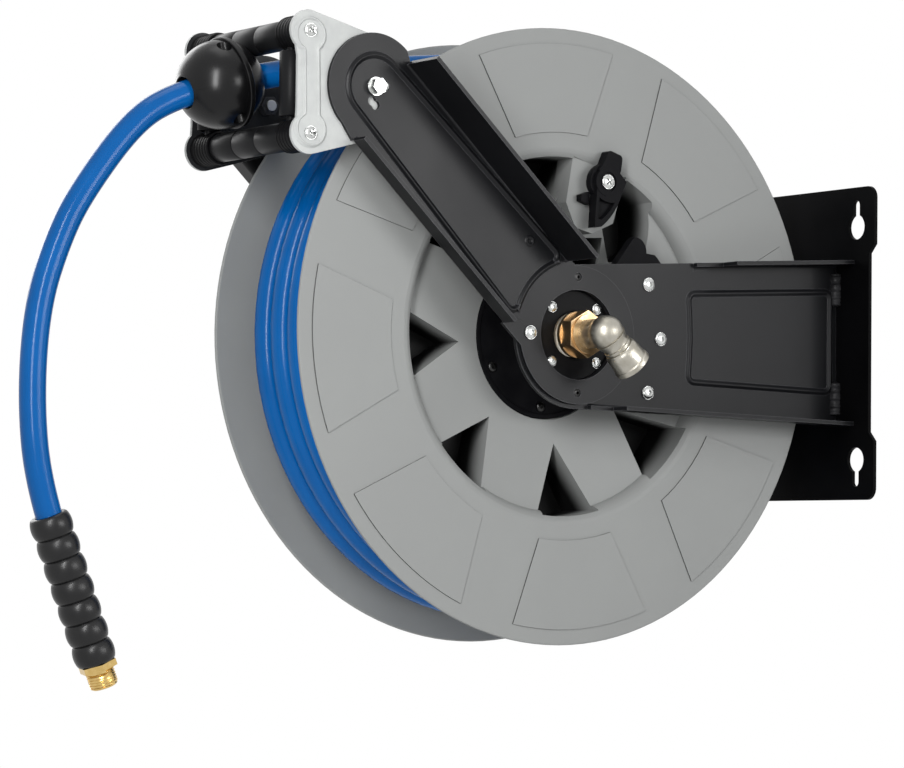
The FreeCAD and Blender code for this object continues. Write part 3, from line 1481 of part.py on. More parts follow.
def pawl_spring():
    """Small coil round the pawl's pivot that brings it back to the middle."""
    y, z = PAWL_P.y, PAWL_P.z
    pitch = 2.1
    edges = []
    x = PAWL_PAD_X + PAWL_WIRE_R + 0.05
    turns = 2
    lean = math.atan(pitch / (2 * math.pi * PAWL_SPRING_R))

    def spot(q):
        a = math.pi / 2 * q
        p = V(x + pitch * q / 4, y + PAWL_SPRING_R * math.cos(a), z + PAWL_SPRING_R * math.sin(a))
        t = V(math.sin(lean), -math.sin(a) * math.cos(lean), math.cos(a) * math.cos(lean))
        return p, t

    for q in range(4 * turns):
        p0, t0 = spot(q)
        p1, t1 = spot(q + 1)
        edges += biarc(p0, t0, p1, t1)
    start, direction = spot(0)
    print("least gap of the pawl spring", round(least_gap(edges, PAWL_WIRE_R, WIRE_APART), 2))
    return pipe(edges, PAWL_WIRE_R, start, direction)


def weld(z):
    """Fillet weld between the base arm and the wall plate."""
    x = ARM_IN_X + ARM_T
    leg = WELD_LEG
    half = WELD_LENGTH / 2
    face = face_of(
        V(x, -PLATE_T, z - half),
        V(x + leg, -PLATE_T, z - half),
        (V(x + leg * 0.38, -PLATE_T - leg * 0.38, z - half), V(x, -PLATE_T - leg, z - half)),
    )
    return face.extrude(V(0, 0, WELD_LENGTH))


def build():
    keep("wall_plate", wall_plate())
    base = base_arm()
    keep("near_base_arm", base)
    keep("far_base_arm", mirrored(base))
    welds = [weld(42.0), weld(-42.0)]
    keep("arm_welds", *(welds + [mirrored(w) for w in welds]))
    guide = guide_arm()
    keep("near_guide_arm", guide)
    keep("far_guide_arm", mirrored(guide))
    bracket = roller_bracket()
    keep("near_roller_bracket", bracket)
    keep("far_roller_bracket", mirrored(bracket))
    bolt = guide_bolt()
    keep("guide_arm_bolts", bolt, mirrored(bolt))
    nut = guide_nut()
    keep("guide_arm_nuts", nut, mirrored(nut))

    keep("roller_axles", long_axle(LOBE_HIGH), long_axle(LOBE_LOW))
    keep("top_roller", long_roller(LOBE_HIGH))
    keep("bottom_roller", long_roller(LOBE_LOW))
    collars = [collar(LOBE_HIGH, -1), collar(LOBE_LOW, 1)]
    keep("axle_collars", *(collars + [mirrored(c) for c in collars]))
    pin = side_pin()
    keep("side_roller_pins", pin, mirrored(pin))
    roller = side_roller()
    keep("near_side_roller", roller)
    keep("far_side_roller", mirrored(roller))
    x_out = GUIDE_X + 1.0
    ends = []
    for lobe in (LOBE_HIGH, LOBE_LOW):
        ends.append(pan_screw(x_out, GUIDE_X - BRACKET_T - 14.0, lobe[0], lobe[1], SCREW_R, 6.0, 3.2))
    keep("axle_screws", *(ends + [mirrored(s) for s in ends]))

    keep("bearing_housing", housing())
    keep("shaft_bush", bush())
    cap = bearing_cap(COLLAR_NUT_R + 0.8)
    keep("bearing_cap", cap)
    keep("ratchet_segment", ratchet())
    keep("arbor_carrier", far_plate())
    keep("arbor_cap", arbor_cap())
    keep("spring_arbor", arbor())
    keep("arbor_nut", arbor_nut())
    small = []
    for p in cap_points():
        small.append(pan_screw(ARM_IN_X + 1.0, ARM_IN_X - 6.0, p.y, p.z, SCREW_R * 0.8, 4.8, 2.4))
    keep("cap_screws", *(small + [mirrored(s) for s in small]))
    big = []
    for deg in (-ARM_SCREW_DEG, 0, ARM_SCREW_DEG):
        p = at(0, ARM_SCREW_R, deg)
        big.append(pan_screw(ARM_IN_X + ARM_T, ARM_IN_X - HOUSING_T + 0.2, p.y, p.z))
    p = at(0, HUB_SCREW_R, 180)
    big.append(pan_screw(ARM_IN_X + 2 * ARM_T, ARM_IN_X - HOUSING_T + 0.2, p.y, p.z))
    keep("arm_screws", *(big + [mirrored(s) for s in big]))

    half = spool_half(True)
    near = half.cut(latch_pad(PAWL_PAD_X, SPOOL_HALF_W + 5))
    near = near.fuse(latch_pad(DISH_FLOOR_X + 8.0, PAWL_PAD_X)).cut(latch_window())
    near = near.cut(rod(PAWL_PAD_X - 14.0, PAWL_PAD_X + 1, SCREW_R, PAWL_P.y, PAWL_P.z))
    near = drilled(near, disc_screw_points(), DISH_FLOOR_X - 1, DISH_FLOOR_X + 5, SCREW_R)
    near = drilled(near, tie_points(), -1, TIE_SCREW_REACH + 2, SCREW_R)
    near = near.cut(radial(PORT_X, PORT_DEG, BARREL_R - 2 * BARREL_T, BARREL_R + 5, HOSE_R + 0.3))
    half = spool_half(False)
    far = drilled(half, disc_screw_points(), DISH_FLOOR_X - 1, DISH_FLOOR_X + 5, SCREW_R)
    far = mirrored(drilled(far, tie_points(), -1, TIE_SCREW_REACH + 2, SCREW_R))
    keep_half("near", near)
    keep_half("far", far)
    reach = TIE_SCREW_REACH
    keep("spool_tie_screws", *[rod(-reach, reach, SCREW_R, p.y, p.z) for p in tie_points()])
    disc = hub_disc()
    keep("near_hub_disc", disc)
    keep("far_hub_disc", mirrored(disc))
    hub = []
    x_disc = DISH_FLOOR_X + FLANGE_T + DISC_T
    for p in disc_screw_points():
        hub.append(pan_screw(x_disc, DISH_FLOOR_X - FLANGE_T + 0.2, p.y, p.z, SCREW_R, 4.6, 2.4))
    far_hub = []
    for p in disc_screw_points():
        end = -SPRING_BACK_X - 1.8
        far_hub.append(mirrored(pan_screw(x_disc, end, p.y, p.z, SCREW_R, 4.6, 2.4)))
    keep("hub_screws", *(hub + far_hub))

    keep("hollow_shaft", hollow_shaft())
    keep("swivel_seals", *[ring(x, SHAFT_R - SEAL_SECTION_R, SEAL_SECTION_R) for x in SWIVEL_GROOVES])
    keep("swivel_clip", ring(CLIP_X, SHAFT_R, CLIP_SECTION_R - 0.02))
    keep("swivel_nut", swivel_nut())
    keep("inlet_elbow", elbow())

    keep("spring_case", spring_case())
    keep("spring_case_lid", tube(SPRING_LID_X - 2.0, SPRING_LID_X, SPRING_CASE_R, SHAFT_R + 1.0))
    keep("main_spring", main_spring())
    x_bush = -(DISH_FLOOR_X + FLANGE_T + DISC_T)
    keep("arbor_bush", tube(x_bush, SPRING_BACK_X + 2.0, SHAFT_R + 1.5, SHAFT_R + RUN_GAP))
    fitting = radial(PORT_X, PORT_DEG, SHAFT_R - 1.0, FITTING_OUT_R, FITTING_R, SHAFT_BORE_R)
    keep("drum_fitting", fitting.cut(rod(0, 40, SHAFT_R)))
    keep("inner_hose", radial(PORT_X, PORT_DEG, FITTING_OUT_R, BARREL_R - BARREL_T, HOSE_R, HOSE_BORE_R))
    keep("hose_clamp", radial(PORT_X, PORT_DEG, CLAMP_IN_R, CLAMP_OUT_R, HOSE_R + 1.2, HOSE_R))

    keep("wound_hose", wound_hose())
    keep("hose_core", wound_core())
    lead, lead_end = hose_lead()
    keep("hose_lead", lead)
    halves, up = stop_halves()
    keep("stop_lower_half", halves[0])
    keep("stop_upper_half", halves[1])
    keep("stop_screws", stop_screw(-1, up), stop_screw(1, up))
    hose, top, down = free_hose(lead_end)
    keep("free_hose", hose)
    sleeve, sleeve_end = restrictor(top, down)
    keep("bend_restrictor", sleeve)
    keep("hose_ferrule", crimp(down))
    keep("hose_tail", hose_tail(sleeve_end, down))

    keep("pawl", pawl())
    keep("pawl_screw", pawl_screw())
    keep("pawl_spring", pawl_spring())


build()
os.makedirs("parts", exist_ok=True)
for name, shape in NODES.items():
    shape.exportStep("parts/" + name + ".step")
    solids = shape.Solids
    volume = sum(s.Volume for s in solids)
    print(name, len(solids), "solids", round(volume / 1000, 2), "cm3", shape.isValid())
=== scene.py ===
import math

import bmesh
import bpy
from mathutils import Matrix, Vector


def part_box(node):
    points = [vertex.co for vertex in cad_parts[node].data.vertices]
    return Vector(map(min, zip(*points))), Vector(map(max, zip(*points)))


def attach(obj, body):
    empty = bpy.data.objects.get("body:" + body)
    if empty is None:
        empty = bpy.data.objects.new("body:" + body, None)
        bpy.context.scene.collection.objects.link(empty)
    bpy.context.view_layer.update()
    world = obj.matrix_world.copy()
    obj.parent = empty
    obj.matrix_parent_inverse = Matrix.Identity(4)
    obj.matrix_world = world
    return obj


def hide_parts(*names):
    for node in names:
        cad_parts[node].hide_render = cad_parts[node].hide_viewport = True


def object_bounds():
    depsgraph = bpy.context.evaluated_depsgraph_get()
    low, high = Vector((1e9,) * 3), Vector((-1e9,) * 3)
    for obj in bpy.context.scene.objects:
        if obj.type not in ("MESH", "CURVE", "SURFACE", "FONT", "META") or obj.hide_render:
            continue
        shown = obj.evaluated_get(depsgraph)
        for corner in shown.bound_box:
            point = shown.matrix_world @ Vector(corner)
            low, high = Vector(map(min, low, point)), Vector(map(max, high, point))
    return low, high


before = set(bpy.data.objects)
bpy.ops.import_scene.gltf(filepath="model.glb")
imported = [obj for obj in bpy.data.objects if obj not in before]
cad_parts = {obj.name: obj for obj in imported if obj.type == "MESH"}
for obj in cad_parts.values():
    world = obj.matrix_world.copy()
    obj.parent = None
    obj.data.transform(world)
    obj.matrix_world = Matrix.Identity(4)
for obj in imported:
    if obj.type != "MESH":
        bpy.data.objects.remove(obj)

cad_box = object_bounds()

# Camera and light: a long lens on the reel's near front, a little below its axis. A tall soft lamp
# stands on its left, a wide one on its right that the arms' faces mirror, one behind and one
# overhead, in a white room that the camera and polished metal see.
AZIMUTH, ELEVATION, ROLL = math.radians(56.600), math.radians(-2.658), math.radians(0.568)
EYE = Vector((2.35769, -1.86050, -0.16909))
LENS = 151.94
SENSOR = 36.0
CLIP_END = 50.0
SOFT_WORLD = 0.16


def add(name, data):
    """A new object in the scene."""
    obj = bpy.data.objects.new(name, data)
    bpy.context.collection.objects.link(obj)
    return obj


flat_reach = math.cos(ELEVATION)
backward = Vector((math.sin(AZIMUTH) * flat_reach, -math.cos(AZIMUTH) * flat_reach, math.sin(ELEVATION)))
level = Vector((math.cos(AZIMUTH), math.sin(AZIMUTH), 0.0))
rise = backward.cross(level)
rightward = level * math.cos(ROLL) + rise * math.sin(ROLL)
upward = rise * math.cos(ROLL) - level * math.sin(ROLL)
cam_data = bpy.data.cameras.new("camera")
cam_data.sensor_width = SENSOR
cam_data.sensor_fit = "HORIZONTAL"
cam_data.lens = LENS
cam_data.clip_end = CLIP_END
cam = add("camera", cam_data)
cam.matrix_world = Matrix.Translation(EYE) @ Matrix((rightward, upward, backward)).transposed().to_4x4()
bpy.context.scene.camera = cam


def lamp(name, place, aim, size, power):
    """A rectangular soft lamp that looks at a point."""
    data = bpy.data.lights.new(name, "AREA")
    data.shape = "RECTANGLE"
    data.size, data.size_y = size
    data.energy = power
    look = (Vector(aim) - Vector(place)).to_track_quat("-Z", "Y")
    add(name, data).matrix_world = Matrix.Translation(place) @ look.to_matrix().to_4x4()


lamp("key_lamp", (0.97, -1.35, 0.35), (0.0, -0.35, 0.05), (0.20, 1.05), 17.0)
lamp("back_lamp", (-2.0, -0.5, 1.0), (0.0, -0.3, 0.0), (1.3, 1.3), 16.0)
lamp("side_lamp", (2.55, 0.72, 0.38), (0.0, -0.25, 0.0), (1.5, 0.7), 29.0)
lamp("top_lamp", (0.0, -0.5, 2.3), (0.0, -0.3, 0.0), (1.4, 0.8), 7.0)


def wire(tree, node, values):
    """Set a node's inputs, by name or number, to a value, a link or a list of links."""
    for key, value in values.items():
        for one in value if isinstance(value, list) else [value]:
            if isinstance(one, bpy.types.NodeSocket):
                tree.links.new(one, node.inputs[key])
            else:
                node.inputs[key].default_value = one


def put(tree, kind, settings=None, at=None, **values):
    """The outputs of a new node with these settings, and inputs by number and by name."""
    made = tree.nodes.new(kind)
    for key, value in (settings or {}).items():
        setattr(made, key, value)
    wire(tree, made, {**(at or {}), **{key.replace("_", " "): value for key, value in values.items()}})
    return made.outputs


def maths(tree, kind, a, b=0.0):
    """The result of one sum on values or links."""
    return put(tree, "ShaderNodeMath", {"operation": kind}, {0: a, 1: b})[0]


def white_to_eye(tree, dim, surface):
    """White, at a strength of 1, for rays from the camera, gloss and glass; dim for the rest."""
    ray = put(tree, "ShaderNodeLightPath")
    glossy = maths(tree, "MAXIMUM", ray["Is Camera Ray"], ray["Is Glossy Ray"])
    clear = maths(tree, "MAXIMUM", glossy, ray["Is Transmission Ray"])
    return put(tree, "ShaderNodeMixShader", None, {0: clear, 1: dim, 2: surface})[0]


room = bpy.data.worlds.new("studio")
bpy.context.scene.world = room
room.use_nodes = True
tree = room.node_tree
tree.nodes.clear()
soft, white = (
    put(tree, "ShaderNodeBackground", Color=(1, 1, 1, 1), Strength=strength)[0]
    for strength in (SOFT_WORLD, 1.0)
)
put(tree, "ShaderNodeOutputWorld", Surface=white_to_eye(tree, soft, white))
bpy.context.scene.view_settings.view_transform = "Standard"

# Floor: a plain pale studio floor well under the reel, which hangs on a wall. It shows white to the
# eye, throws a little light up at the reel and is no part of it.
FLOOR_DROP = 0.45
FLOOR_HALF = 4.0
FLOOR_PALE = 0.82
floor_z = cad_box[0][2] - FLOOR_DROP
floor_mesh = bpy.data.meshes.new("studio_floor")
corners = [(sx * FLOOR_HALF, sy * FLOOR_HALF, floor_z) for sx, sy in ((-1, -1), (1, -1), (1, 1), (-1, 1))]
floor_mesh.from_pydata(corners, [], [(0, 1, 2, 3)])
floor = add("studio_floor", floor_mesh)
floor_paint = bpy.data.materials.new("pale_floor")
floor_paint.use_nodes = True
tree = floor_paint.node_tree
tree.nodes.clear()
matt = put(tree, "ShaderNodeBsdfDiffuse", Color=(FLOOR_PALE, FLOOR_PALE, FLOOR_PALE, 1.0))[0]
bright = put(tree, "ShaderNodeEmission", Strength=1.0)[0]
put(tree, "ShaderNodeOutputMaterial", Surface=white_to_eye(tree, matt, bright))
floor_mesh.materials.append(floor_paint)

# Wall plate: one sheet of 3 mm steel with two wide tabs and four keyholes, laser cut and powder
# coated satin black. It hangs on four screws in the wall and carries everything else.
MM = 0.001
COAT_BLACK = (0.0060, 0.0062, 0.0072)
COAT_DUSTY = (0.0085, 0.0088, 0.0100)
COAT_WORN = (0.12, 0.12, 0.13)
# These two are a darker copy of the satin black and its dusty patches for the wall plate: painted shade.
COAT_BLACK_PAINTED_SHADE = (0.0016, 0.0016, 0.0018)
COAT_DUSTY_PAINTED_SHADE = (0.0026, 0.0026, 0.0030)
BEAD_HIGH = 1.2 * MM
hub_y, hub_z = ((a + b) / 2 for a, b in list(zip(*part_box("far_flange")))[1:])


def blend(tree, share, first, second):
    """Two colours mixed by a share."""
    return put(tree, "ShaderNodeMix", {"data_type": "RGBA"}, {0: share, 6: first, 7: second})[2]


def finish(name, colour, second, patch, rough, grain, height, metallic=0.0, specular=0.5, wear=None):
    """A procedural finish on Object coordinates.

    colour and second are mixed by soft patches of a size in metres, rough is the roughness in one
    patch and the other, and grain is the size of a fine bump of that height, both in millimetres.
    wear is a colour that shows along worn edges.
    """
    mat = bpy.data.materials.new(name)
    mat.use_nodes = True
    tree = mat.node_tree
    place = put(tree, "ShaderNodeTexCoord")["Object"]
    clouds = put(tree, "ShaderNodeTexNoise", Scale=1.0 / patch, Detail=4.0, Vector=place)[0]
    spread = put(tree, "ShaderNodeMapRange", From_Min=0.35, From_Max=0.65, Value=clouds)[0]
    tint = blend(tree, spread, (*colour, 1.0), (*second, 1.0))
    if wear:
        rounded = put(tree, "ShaderNodeBevel", {"samples": 4}, Radius=0.9 * MM)[0]
        unbent = put(tree, "ShaderNodeNewGeometry")["Normal"]
        pair = {0: rounded, 1: unbent}
        match = put(tree, "ShaderNodeVectorMath", {"operation": "DOT_PRODUCT"}, pair)["Value"]
        edge = put(tree, "ShaderNodeMapRange", From_Min=0.995, From_Max=0.80, To_Max=0.55, Value=match)[0]
        tint = blend(tree, edge, tint, (*wear, 1.0))
    sheen = put(tree, "ShaderNodeMapRange", To_Min=rough[0], To_Max=rough[1], Value=spread)[0]
    skin = put(tree, "ShaderNodeTexNoise", Scale=1.0 / (grain * MM), Detail=2.0, Vector=place)[0]
    bump = put(tree, "ShaderNodeBump", Strength=0.6, Distance=height * MM, Height=skin)[0]
    look = {"Metallic": metallic, "Specular IOR Level": specular, "Base Color": tint, "Roughness": sheen}
    wire(tree, tree.nodes["Principled BSDF"], {**look, "Normal": bump})
    return mat


def piece(name, bm, sharp, outward=True):
    """An object from a bmesh, smooth but for edges that turn by more than sharp degrees."""
    if outward:
        bmesh.ops.recalc_face_normals(bm, faces=bm.faces)
    for face in bm.faces:
        face.smooth = True
    mesh = bpy.data.meshes.new(name)
    bm.to_mesh(mesh)
    bm.free()
    mesh.set_sharp_from_angle(angle=math.radians(sharp))
    return add(name, mesh)


def softened(node, name, width, steps=2, corner=28.0, seams=(), bead_x=None):
    """A merged copy of a CAD node with sharp edges rounded by a width in mm, which replaces the node.

    seams are radii round the hub at which the piece is only cut in two, so those edges stay as they
    are. What is raised to bead_x is laid down on the web, where a rounder bead takes its place.
    """
    bm = bmesh.new()
    bm.from_mesh(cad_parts[node].data)
    bmesh.ops.remove_doubles(bm, verts=bm.verts, dist=0.001 * MM)
    if bead_x:
        for vert in bm.verts:
            if abs(abs(vert.co.x) - bead_x) < 0.01 * MM:
                vert.co.x = math.copysign(bead_x - BEAD_HIGH, vert.co.x)
        bmesh.ops.remove_doubles(bm, verts=bm.verts, dist=0.01 * MM)
    bmesh.ops.dissolve_limit(bm, angle_limit=math.radians(0.6), verts=bm.verts, edges=bm.edges)
    sharp = [e for e in bm.edges if len(e.link_faces) == 2 and e.calc_face_angle(0.0) > math.radians(corner)]
    for seam in seams:
        reach = [[math.hypot(v.co.y - hub_y, v.co.z - hub_z) for v in e.verts] for e in sharp]
        sharp = [e for e, r in zip(sharp, reach) if max(abs(d - seam) for d in r) > 0.02 * MM]
    rounding = {"offset": width * MM, "segments": steps, "profile": 0.5, "affect": "EDGES"}
    bmesh.ops.bevel(bm, geom=sharp, clamp_overlap=True, **rounding)
    obj = piece(name, bm, 40.0, outward=False)
    obj.modifiers.new("even", "WEIGHTED_NORMAL").keep_sharp = True
    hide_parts(node)
    return obj


def dress(obj, material, body):
    """Give a finished piece its material and the body that it moves with."""
    obj.data.materials.clear()
    obj.data.materials.append(material)
    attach(obj, body)


def coat(material, *nodes):
    """Give CAD nodes that keep their own shape a material."""
    for node in nodes:
        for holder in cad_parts[node].material_slots:
            holder.material = material


black_coat = finish(
    "satin_powder_coat", COAT_BLACK, COAT_DUSTY, 0.06, (0.31, 0.36), 1.1, 0.05, 0.0, 0.17, COAT_WORN
)
# The wall plate takes the darker copy of the coat, which is painted shade.
plate_coat_painted_shade = finish(
    "satin_powder_coat_deep", COAT_BLACK_PAINTED_SHADE, COAT_DUSTY_PAINTED_SHADE, 0.06, (0.34, 0.42), 1.1, 0.05, 0.0, 0.03
)
dress(softened("wall_plate", "keyhole_plate", 0.5), plate_coat_painted_shade, "frame")

# Base arms: two folded arms of 3 mm steel that stand on the wall plate. Each has a turned-out edge
# above and below, and a pressed bead round its flat web. Both are welded on, then powder coated.
SIDES = (("near", 1), ("far", -1))
BASE_WEB_X = 76.0 * MM
BASE_BEAD = (
    (-9.0, 40.1), (-145.0, 32.5), (-143.6, 16.0), (-143.0, 0.0),
    (-143.6, -16.0), (-145.0, -33.5), (-9.0, -37.1),
)
PRESSED_HALF = 2.9 * MM
PRESSED_HIGH = 1.6 * MM
PRESSED_SUNK = 0.5 * MM
BEAD_BEND = 5.5 * MM
BEAD_STEPS = 7
BLUNT = math.radians(150.0)


def rounded_path(corners, bend):
    """A closed path through (y, z) corners, each sharp one rounded to an arc of radius bend."""
    path = []
    count = len(corners)
    for i in range(count):
        before, here, after = (Vector(corners[(i + k) % count]) for k in (-1, 0, 1))
        back = (before - here).normalized()
        ahead = (after - here).normalized()
        inside = back.angle(ahead)
        if inside > BLUNT:
            path.append(here)
            continue
        reach = bend / math.tan(inside / 2)
        centre = here + (back + ahead).normalized() * (bend / math.sin(inside / 2))
        first = here + back * reach - centre
        last = here + ahead * reach - centre
        sweep = math.pi - inside
        for k in range(BEAD_STEPS + 1):
            share = k / BEAD_STEPS
            part = (first * math.sin((1 - share) * sweep) + last * math.sin(share * sweep)) / math.sin(sweep)
            path.append(centre + part)
    return path


def bridge(bm, low, high):
    """Faces between two rings of as many corners."""
    for a in range(len(low)):
        b = (a + 1) % len(low)
        bm.faces.new((low[a], low[b], high[b], high[a]))


def pressed_bead(name, path, level, side, half=PRESSED_HALF, high=PRESSED_HIGH):
    """A rounded bead along a closed (y, z) path, raised from a web whose face is at level."""
    bm = bmesh.new()
    rings = []
    count = len(path)
    for i, here in enumerate(path):
        way = (path[(i + 1) % count] - path[i - 1]).normalized()
        across = Vector((way.y, -way.x))
        ring = []
        for j in range(-BEAD_STEPS, BEAD_STEPS + 1):
            spot = here + across * (half * j / BEAD_STEPS)
            rise = high * (0.5 + 0.5 * math.cos(math.pi * j / BEAD_STEPS))
            ring.append(bm.verts.new((side * (level + rise), spot.x, spot.y)))
        for j in (1, -1):
            spot = here + across * (half * j)
            ring.append(bm.verts.new((side * (level - PRESSED_SUNK), spot.x, spot.y)))
        rings.append(ring)
    for i in range(count):
        bridge(bm, rings[i], rings[(i + 1) % count])
    return piece(name, bm, 60.0)


base_path = rounded_path([(y * MM, z * MM) for y, z in BASE_BEAD], BEAD_BEND)
for side, way in SIDES:
    arm = softened(side + "_base_arm", side + "_wall_arm", 0.5, 3, bead_x=BASE_WEB_X + BEAD_HIGH)
    dress(arm, black_coat, "frame")
    bead = pressed_bead(side + "_wall_arm_bead", base_path, BASE_WEB_X, way)
    dress(bead, black_coat, "frame")

# Welds: four short fillet beads between the base arms and the wall plate, laid by hand before the
# coating, so they show as dull ripples under it.
WELD_STEPS = 22
WELD_RUN = 26.0 * MM
WELD_END = 0.35
WELD_ARC = [math.pi / 2 * a / 5 for a in range(6)]
weld_coat = finish(
    "coated_weld", (0.010, 0.010, 0.011), (0.024, 0.024, 0.026), 0.006, (0.30, 0.44), 2.2, 0.5, 0.0, 0.10
)
weld_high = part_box("arm_welds")[1]
weld_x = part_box("near_guide_arm")[0].x
bm = bmesh.new()
for side in (1, -1):
    for foot in (weld_high.z - WELD_RUN, -weld_high.z):
        rings = []
        for k in range(WELD_STEPS + 1):
            z = foot + WELD_RUN * k / WELD_STEPS
            ripple = 0.80 + 0.16 * abs(math.sin(1.9 * k)) + 0.04 * math.sin(5.3 * k + side)
            leg = (weld_high.x - weld_x) * (WELD_END if k in (0, WELD_STEPS) else ripple)
            ring = [(weld_x + leg * math.cos(t), weld_high.y - leg * math.sin(t)) for t in WELD_ARC]
            ring.append((weld_x, weld_high.y))
            rings.append([bm.verts.new((side * x, y, z)) for x, y in ring])
        for low, high in zip(rings, rings[1:]):
            bridge(bm, low, high)
        bm.faces.new(rings[0])
        bm.faces.new(rings[-1])
welds = piece("weld_beads", bm, 60.0)
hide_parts("arm_welds")
dress(welds, weld_coat, "frame")

# Guide arms: two long pressed arms over the base arms, from the hub up to the roller head, with a
# turned-out edge each side and a bead round the web. Each is one blank, folded and powder coated.
GUIDE_WEB_X = 79.0 * MM
GUIDE_TILT = math.radians(136.4)
HEAD_AT = 245.2 * MM
HEAD_BEAD_R = 22.5 * MM
FOOT_AT = 47.0 * MM
FOOT_HALF = 30.5 * MM
DIMPLE = (77.3 * MM, 18.4 * MM)
DIMPLE_R = 2.9 * MM
DIMPLE_SUNK = 0.7 * MM


def on_arm(reach, across):
    """A (y, z) point so far up the long arm from the hub and so far across it."""
    up = (math.cos(GUIDE_TILT), math.sin(GUIDE_TILT))
    return (hub_y + reach * up[0] + across * up[1], hub_z + reach * up[1] - across * up[0])


def arm_arc(middle, radius, turns):
    """Points on the arm along an arc round a place on its middle line."""
    return [on_arm(middle + radius * math.cos(a), radius * math.sin(a)) for a in turns]


foot_turn = math.atan2(FOOT_HALF, FOOT_AT)
guide_corners = [on_arm(FOOT_AT, FOOT_HALF)]
guide_corners += arm_arc(HEAD_AT, HEAD_BEAD_R, [math.radians(a) for a in range(85, -90, -10)])
guide_corners.append(on_arm(FOOT_AT, -FOOT_HALF))
guide_corners += arm_arc(0.0, math.hypot(FOOT_HALF, FOOT_AT), [foot_turn * k / 6 for k in range(-5, 6)])
guide_path = rounded_path(guide_corners, BEAD_BEND)
around = [math.radians(15 * k) for k in range(24)]
dot = [Vector(on_arm(DIMPLE[0] + DIMPLE_R * math.cos(a), DIMPLE[1] + DIMPLE_R * math.sin(a))) for a in around]
for side, way in SIDES:
    name = side + "_long_arm"
    arm = softened(side + "_guide_arm", name, 0.5, 3, bead_x=GUIDE_WEB_X + BEAD_HIGH)
    bead = pressed_bead(name + "_bead", guide_path, GUIDE_WEB_X, way)
    dimple = pressed_bead(name + "_dimple", dot, GUIDE_WEB_X - DIMPLE_SUNK, way)
    for one in (arm, bead, dimple):
        dress(one, black_coat, "frame")

# Roller brackets: a zinc-plated plate on the inside of each guide arm's head. A raised dumbbell is
# pressed in it, the two long axles end in its lobes, and a hex bolt holds it to the arm.
BRIGHT_ZINC = ((0.56, 0.575, 0.57), (0.66, 0.67, 0.655))
DULL_ZINC = ((0.47, 0.483, 0.478), (0.525, 0.54, 0.53))
# The nuts and the far bracket's inner face get near-black copies of the zinc, which are painted shade.
NUT_ZINC_PAINTED_SHADE = ((0.030, 0.032, 0.036), (0.042, 0.044, 0.048))
FAR_BRACKET_PAINTED_SHADE = (0.030, 0.031, 0.033)
RIDGE_X = 76.4 * MM
RIDGE_HALF = 1.9 * MM
RIDGE_HIGH = 1.8 * MM
BOSS_R = 11.5 * MM
WAIST = (-4.6 * MM, 6.4 * MM)
LOBE_SHIFT = (0.6 * MM, 2.8 * MM)
LOBE_STEPS = 20
BOLT_SHARE = 0.80
zinc = finish("bright_zinc", *BRIGHT_ZINC, 0.012, (0.26, 0.36), 0.6, 0.03, 1.0)
dull_zinc = finish("dull_zinc", *DULL_ZINC, 0.012, (0.34, 0.44), 0.6, 0.03, 0.0, 0.10)
nut_zinc_painted_shade = finish("dark_zinc", *NUT_ZINC_PAINTED_SHADE, 0.012, (0.32, 0.40), 0.8, 0.01, 0.0, 0.3)


def middle_of(node):
    """The middle of a CAD node's box."""
    low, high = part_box(node)
    return (low + high) / 2


def mark_painted_shade(obj, chosen):
    """Give the chosen faces of a piece a mark, on which a finish takes painted shade."""
    marks = obj.data.attributes.new("outline", "FLOAT", "FACE")
    for face in obj.data.polygons:
        if chosen(face):
            marks.data[face.index].value = 1.0


def with_painted_shade(mat, share, colour):
    """Let a finish go to a darker colour by a share, as painted shade."""
    shader = mat.node_tree.nodes["Principled BSDF"]
    tint = shader.inputs["Base Color"].links[0].from_socket
    wire(mat.node_tree, shader, {"Base Color": blend(mat.node_tree, share, tint, (*colour, 1.0))})


def painted_shade_on_marks(mat, colour):
    """Let a finish go to a darker colour on marked faces, as painted shade."""
    mark = put(mat.node_tree, "ShaderNodeAttribute", {"attribute_name": "outline"})["Fac"]
    with_painted_shade(mat, mark, colour)


def lobe_arc(node, sign):
    """Points round one lobe of the dumbbell, from one side of its waist to the other."""
    middle = middle_of(node)
    y = middle.y + LOBE_SHIFT[0]
    z = middle.z - sign * LOBE_SHIFT[1]
    first = math.asin(WAIST[0] / BOSS_R)
    last = 2 * math.pi - math.asin(WAIST[1] / BOSS_R)
    turns = [first - (first + last) * k / LOBE_STEPS for k in range(LOBE_STEPS + 1)]
    return [(y + BOSS_R * math.sin(a), z - sign * BOSS_R * math.cos(a)) for a in turns]


dumbbell = rounded_path(lobe_arc("top_roller", 1) + lobe_arc("bottom_roller", -1)[::-1], 2.5 * MM)
# Marked faces of the zinc brackets take painted shade.
painted_shade_on_marks(dull_zinc, FAR_BRACKET_PAINTED_SHADE)
for side, way in SIDES:
    plate = softened(side + "_roller_bracket", side + "_lobed_plate", 0.45, 3)
    # The far bracket's inner face is marked for painted shade.
    mark_painted_shade(plate, lambda face: side == "far" and face.normal.x > 0.7)
    ridge = pressed_bead(side + "_bracket_ridge", dumbbell, RIDGE_X, way, RIDGE_HALF, RIDGE_HIGH)
    mark_painted_shade(ridge, lambda face: False)
    for one in (plate, ridge):
        dress(one, dull_zinc, "frame")
# The nuts get the near-black zinc, which is painted shade.
for node, name, metal in (("guide_arm_bolts", "head_bolts", zinc), ("guide_arm_nuts", "head_nuts", nut_zinc_painted_shade)):
    bolt = softened(node, name, 0.35)
    middle = middle_of(node)
    for vert in bolt.data.vertices:
        if abs(vert.co.x) > GUIDE_WEB_X - 0.01 * MM:
            vert.co.y += (BOLT_SHARE - 1.0) * (vert.co.y - middle.y)
            vert.co.z += (BOLT_SHARE - 1.0) * (vert.co.z - middle.z)
    dress(bolt, metal, "frame")

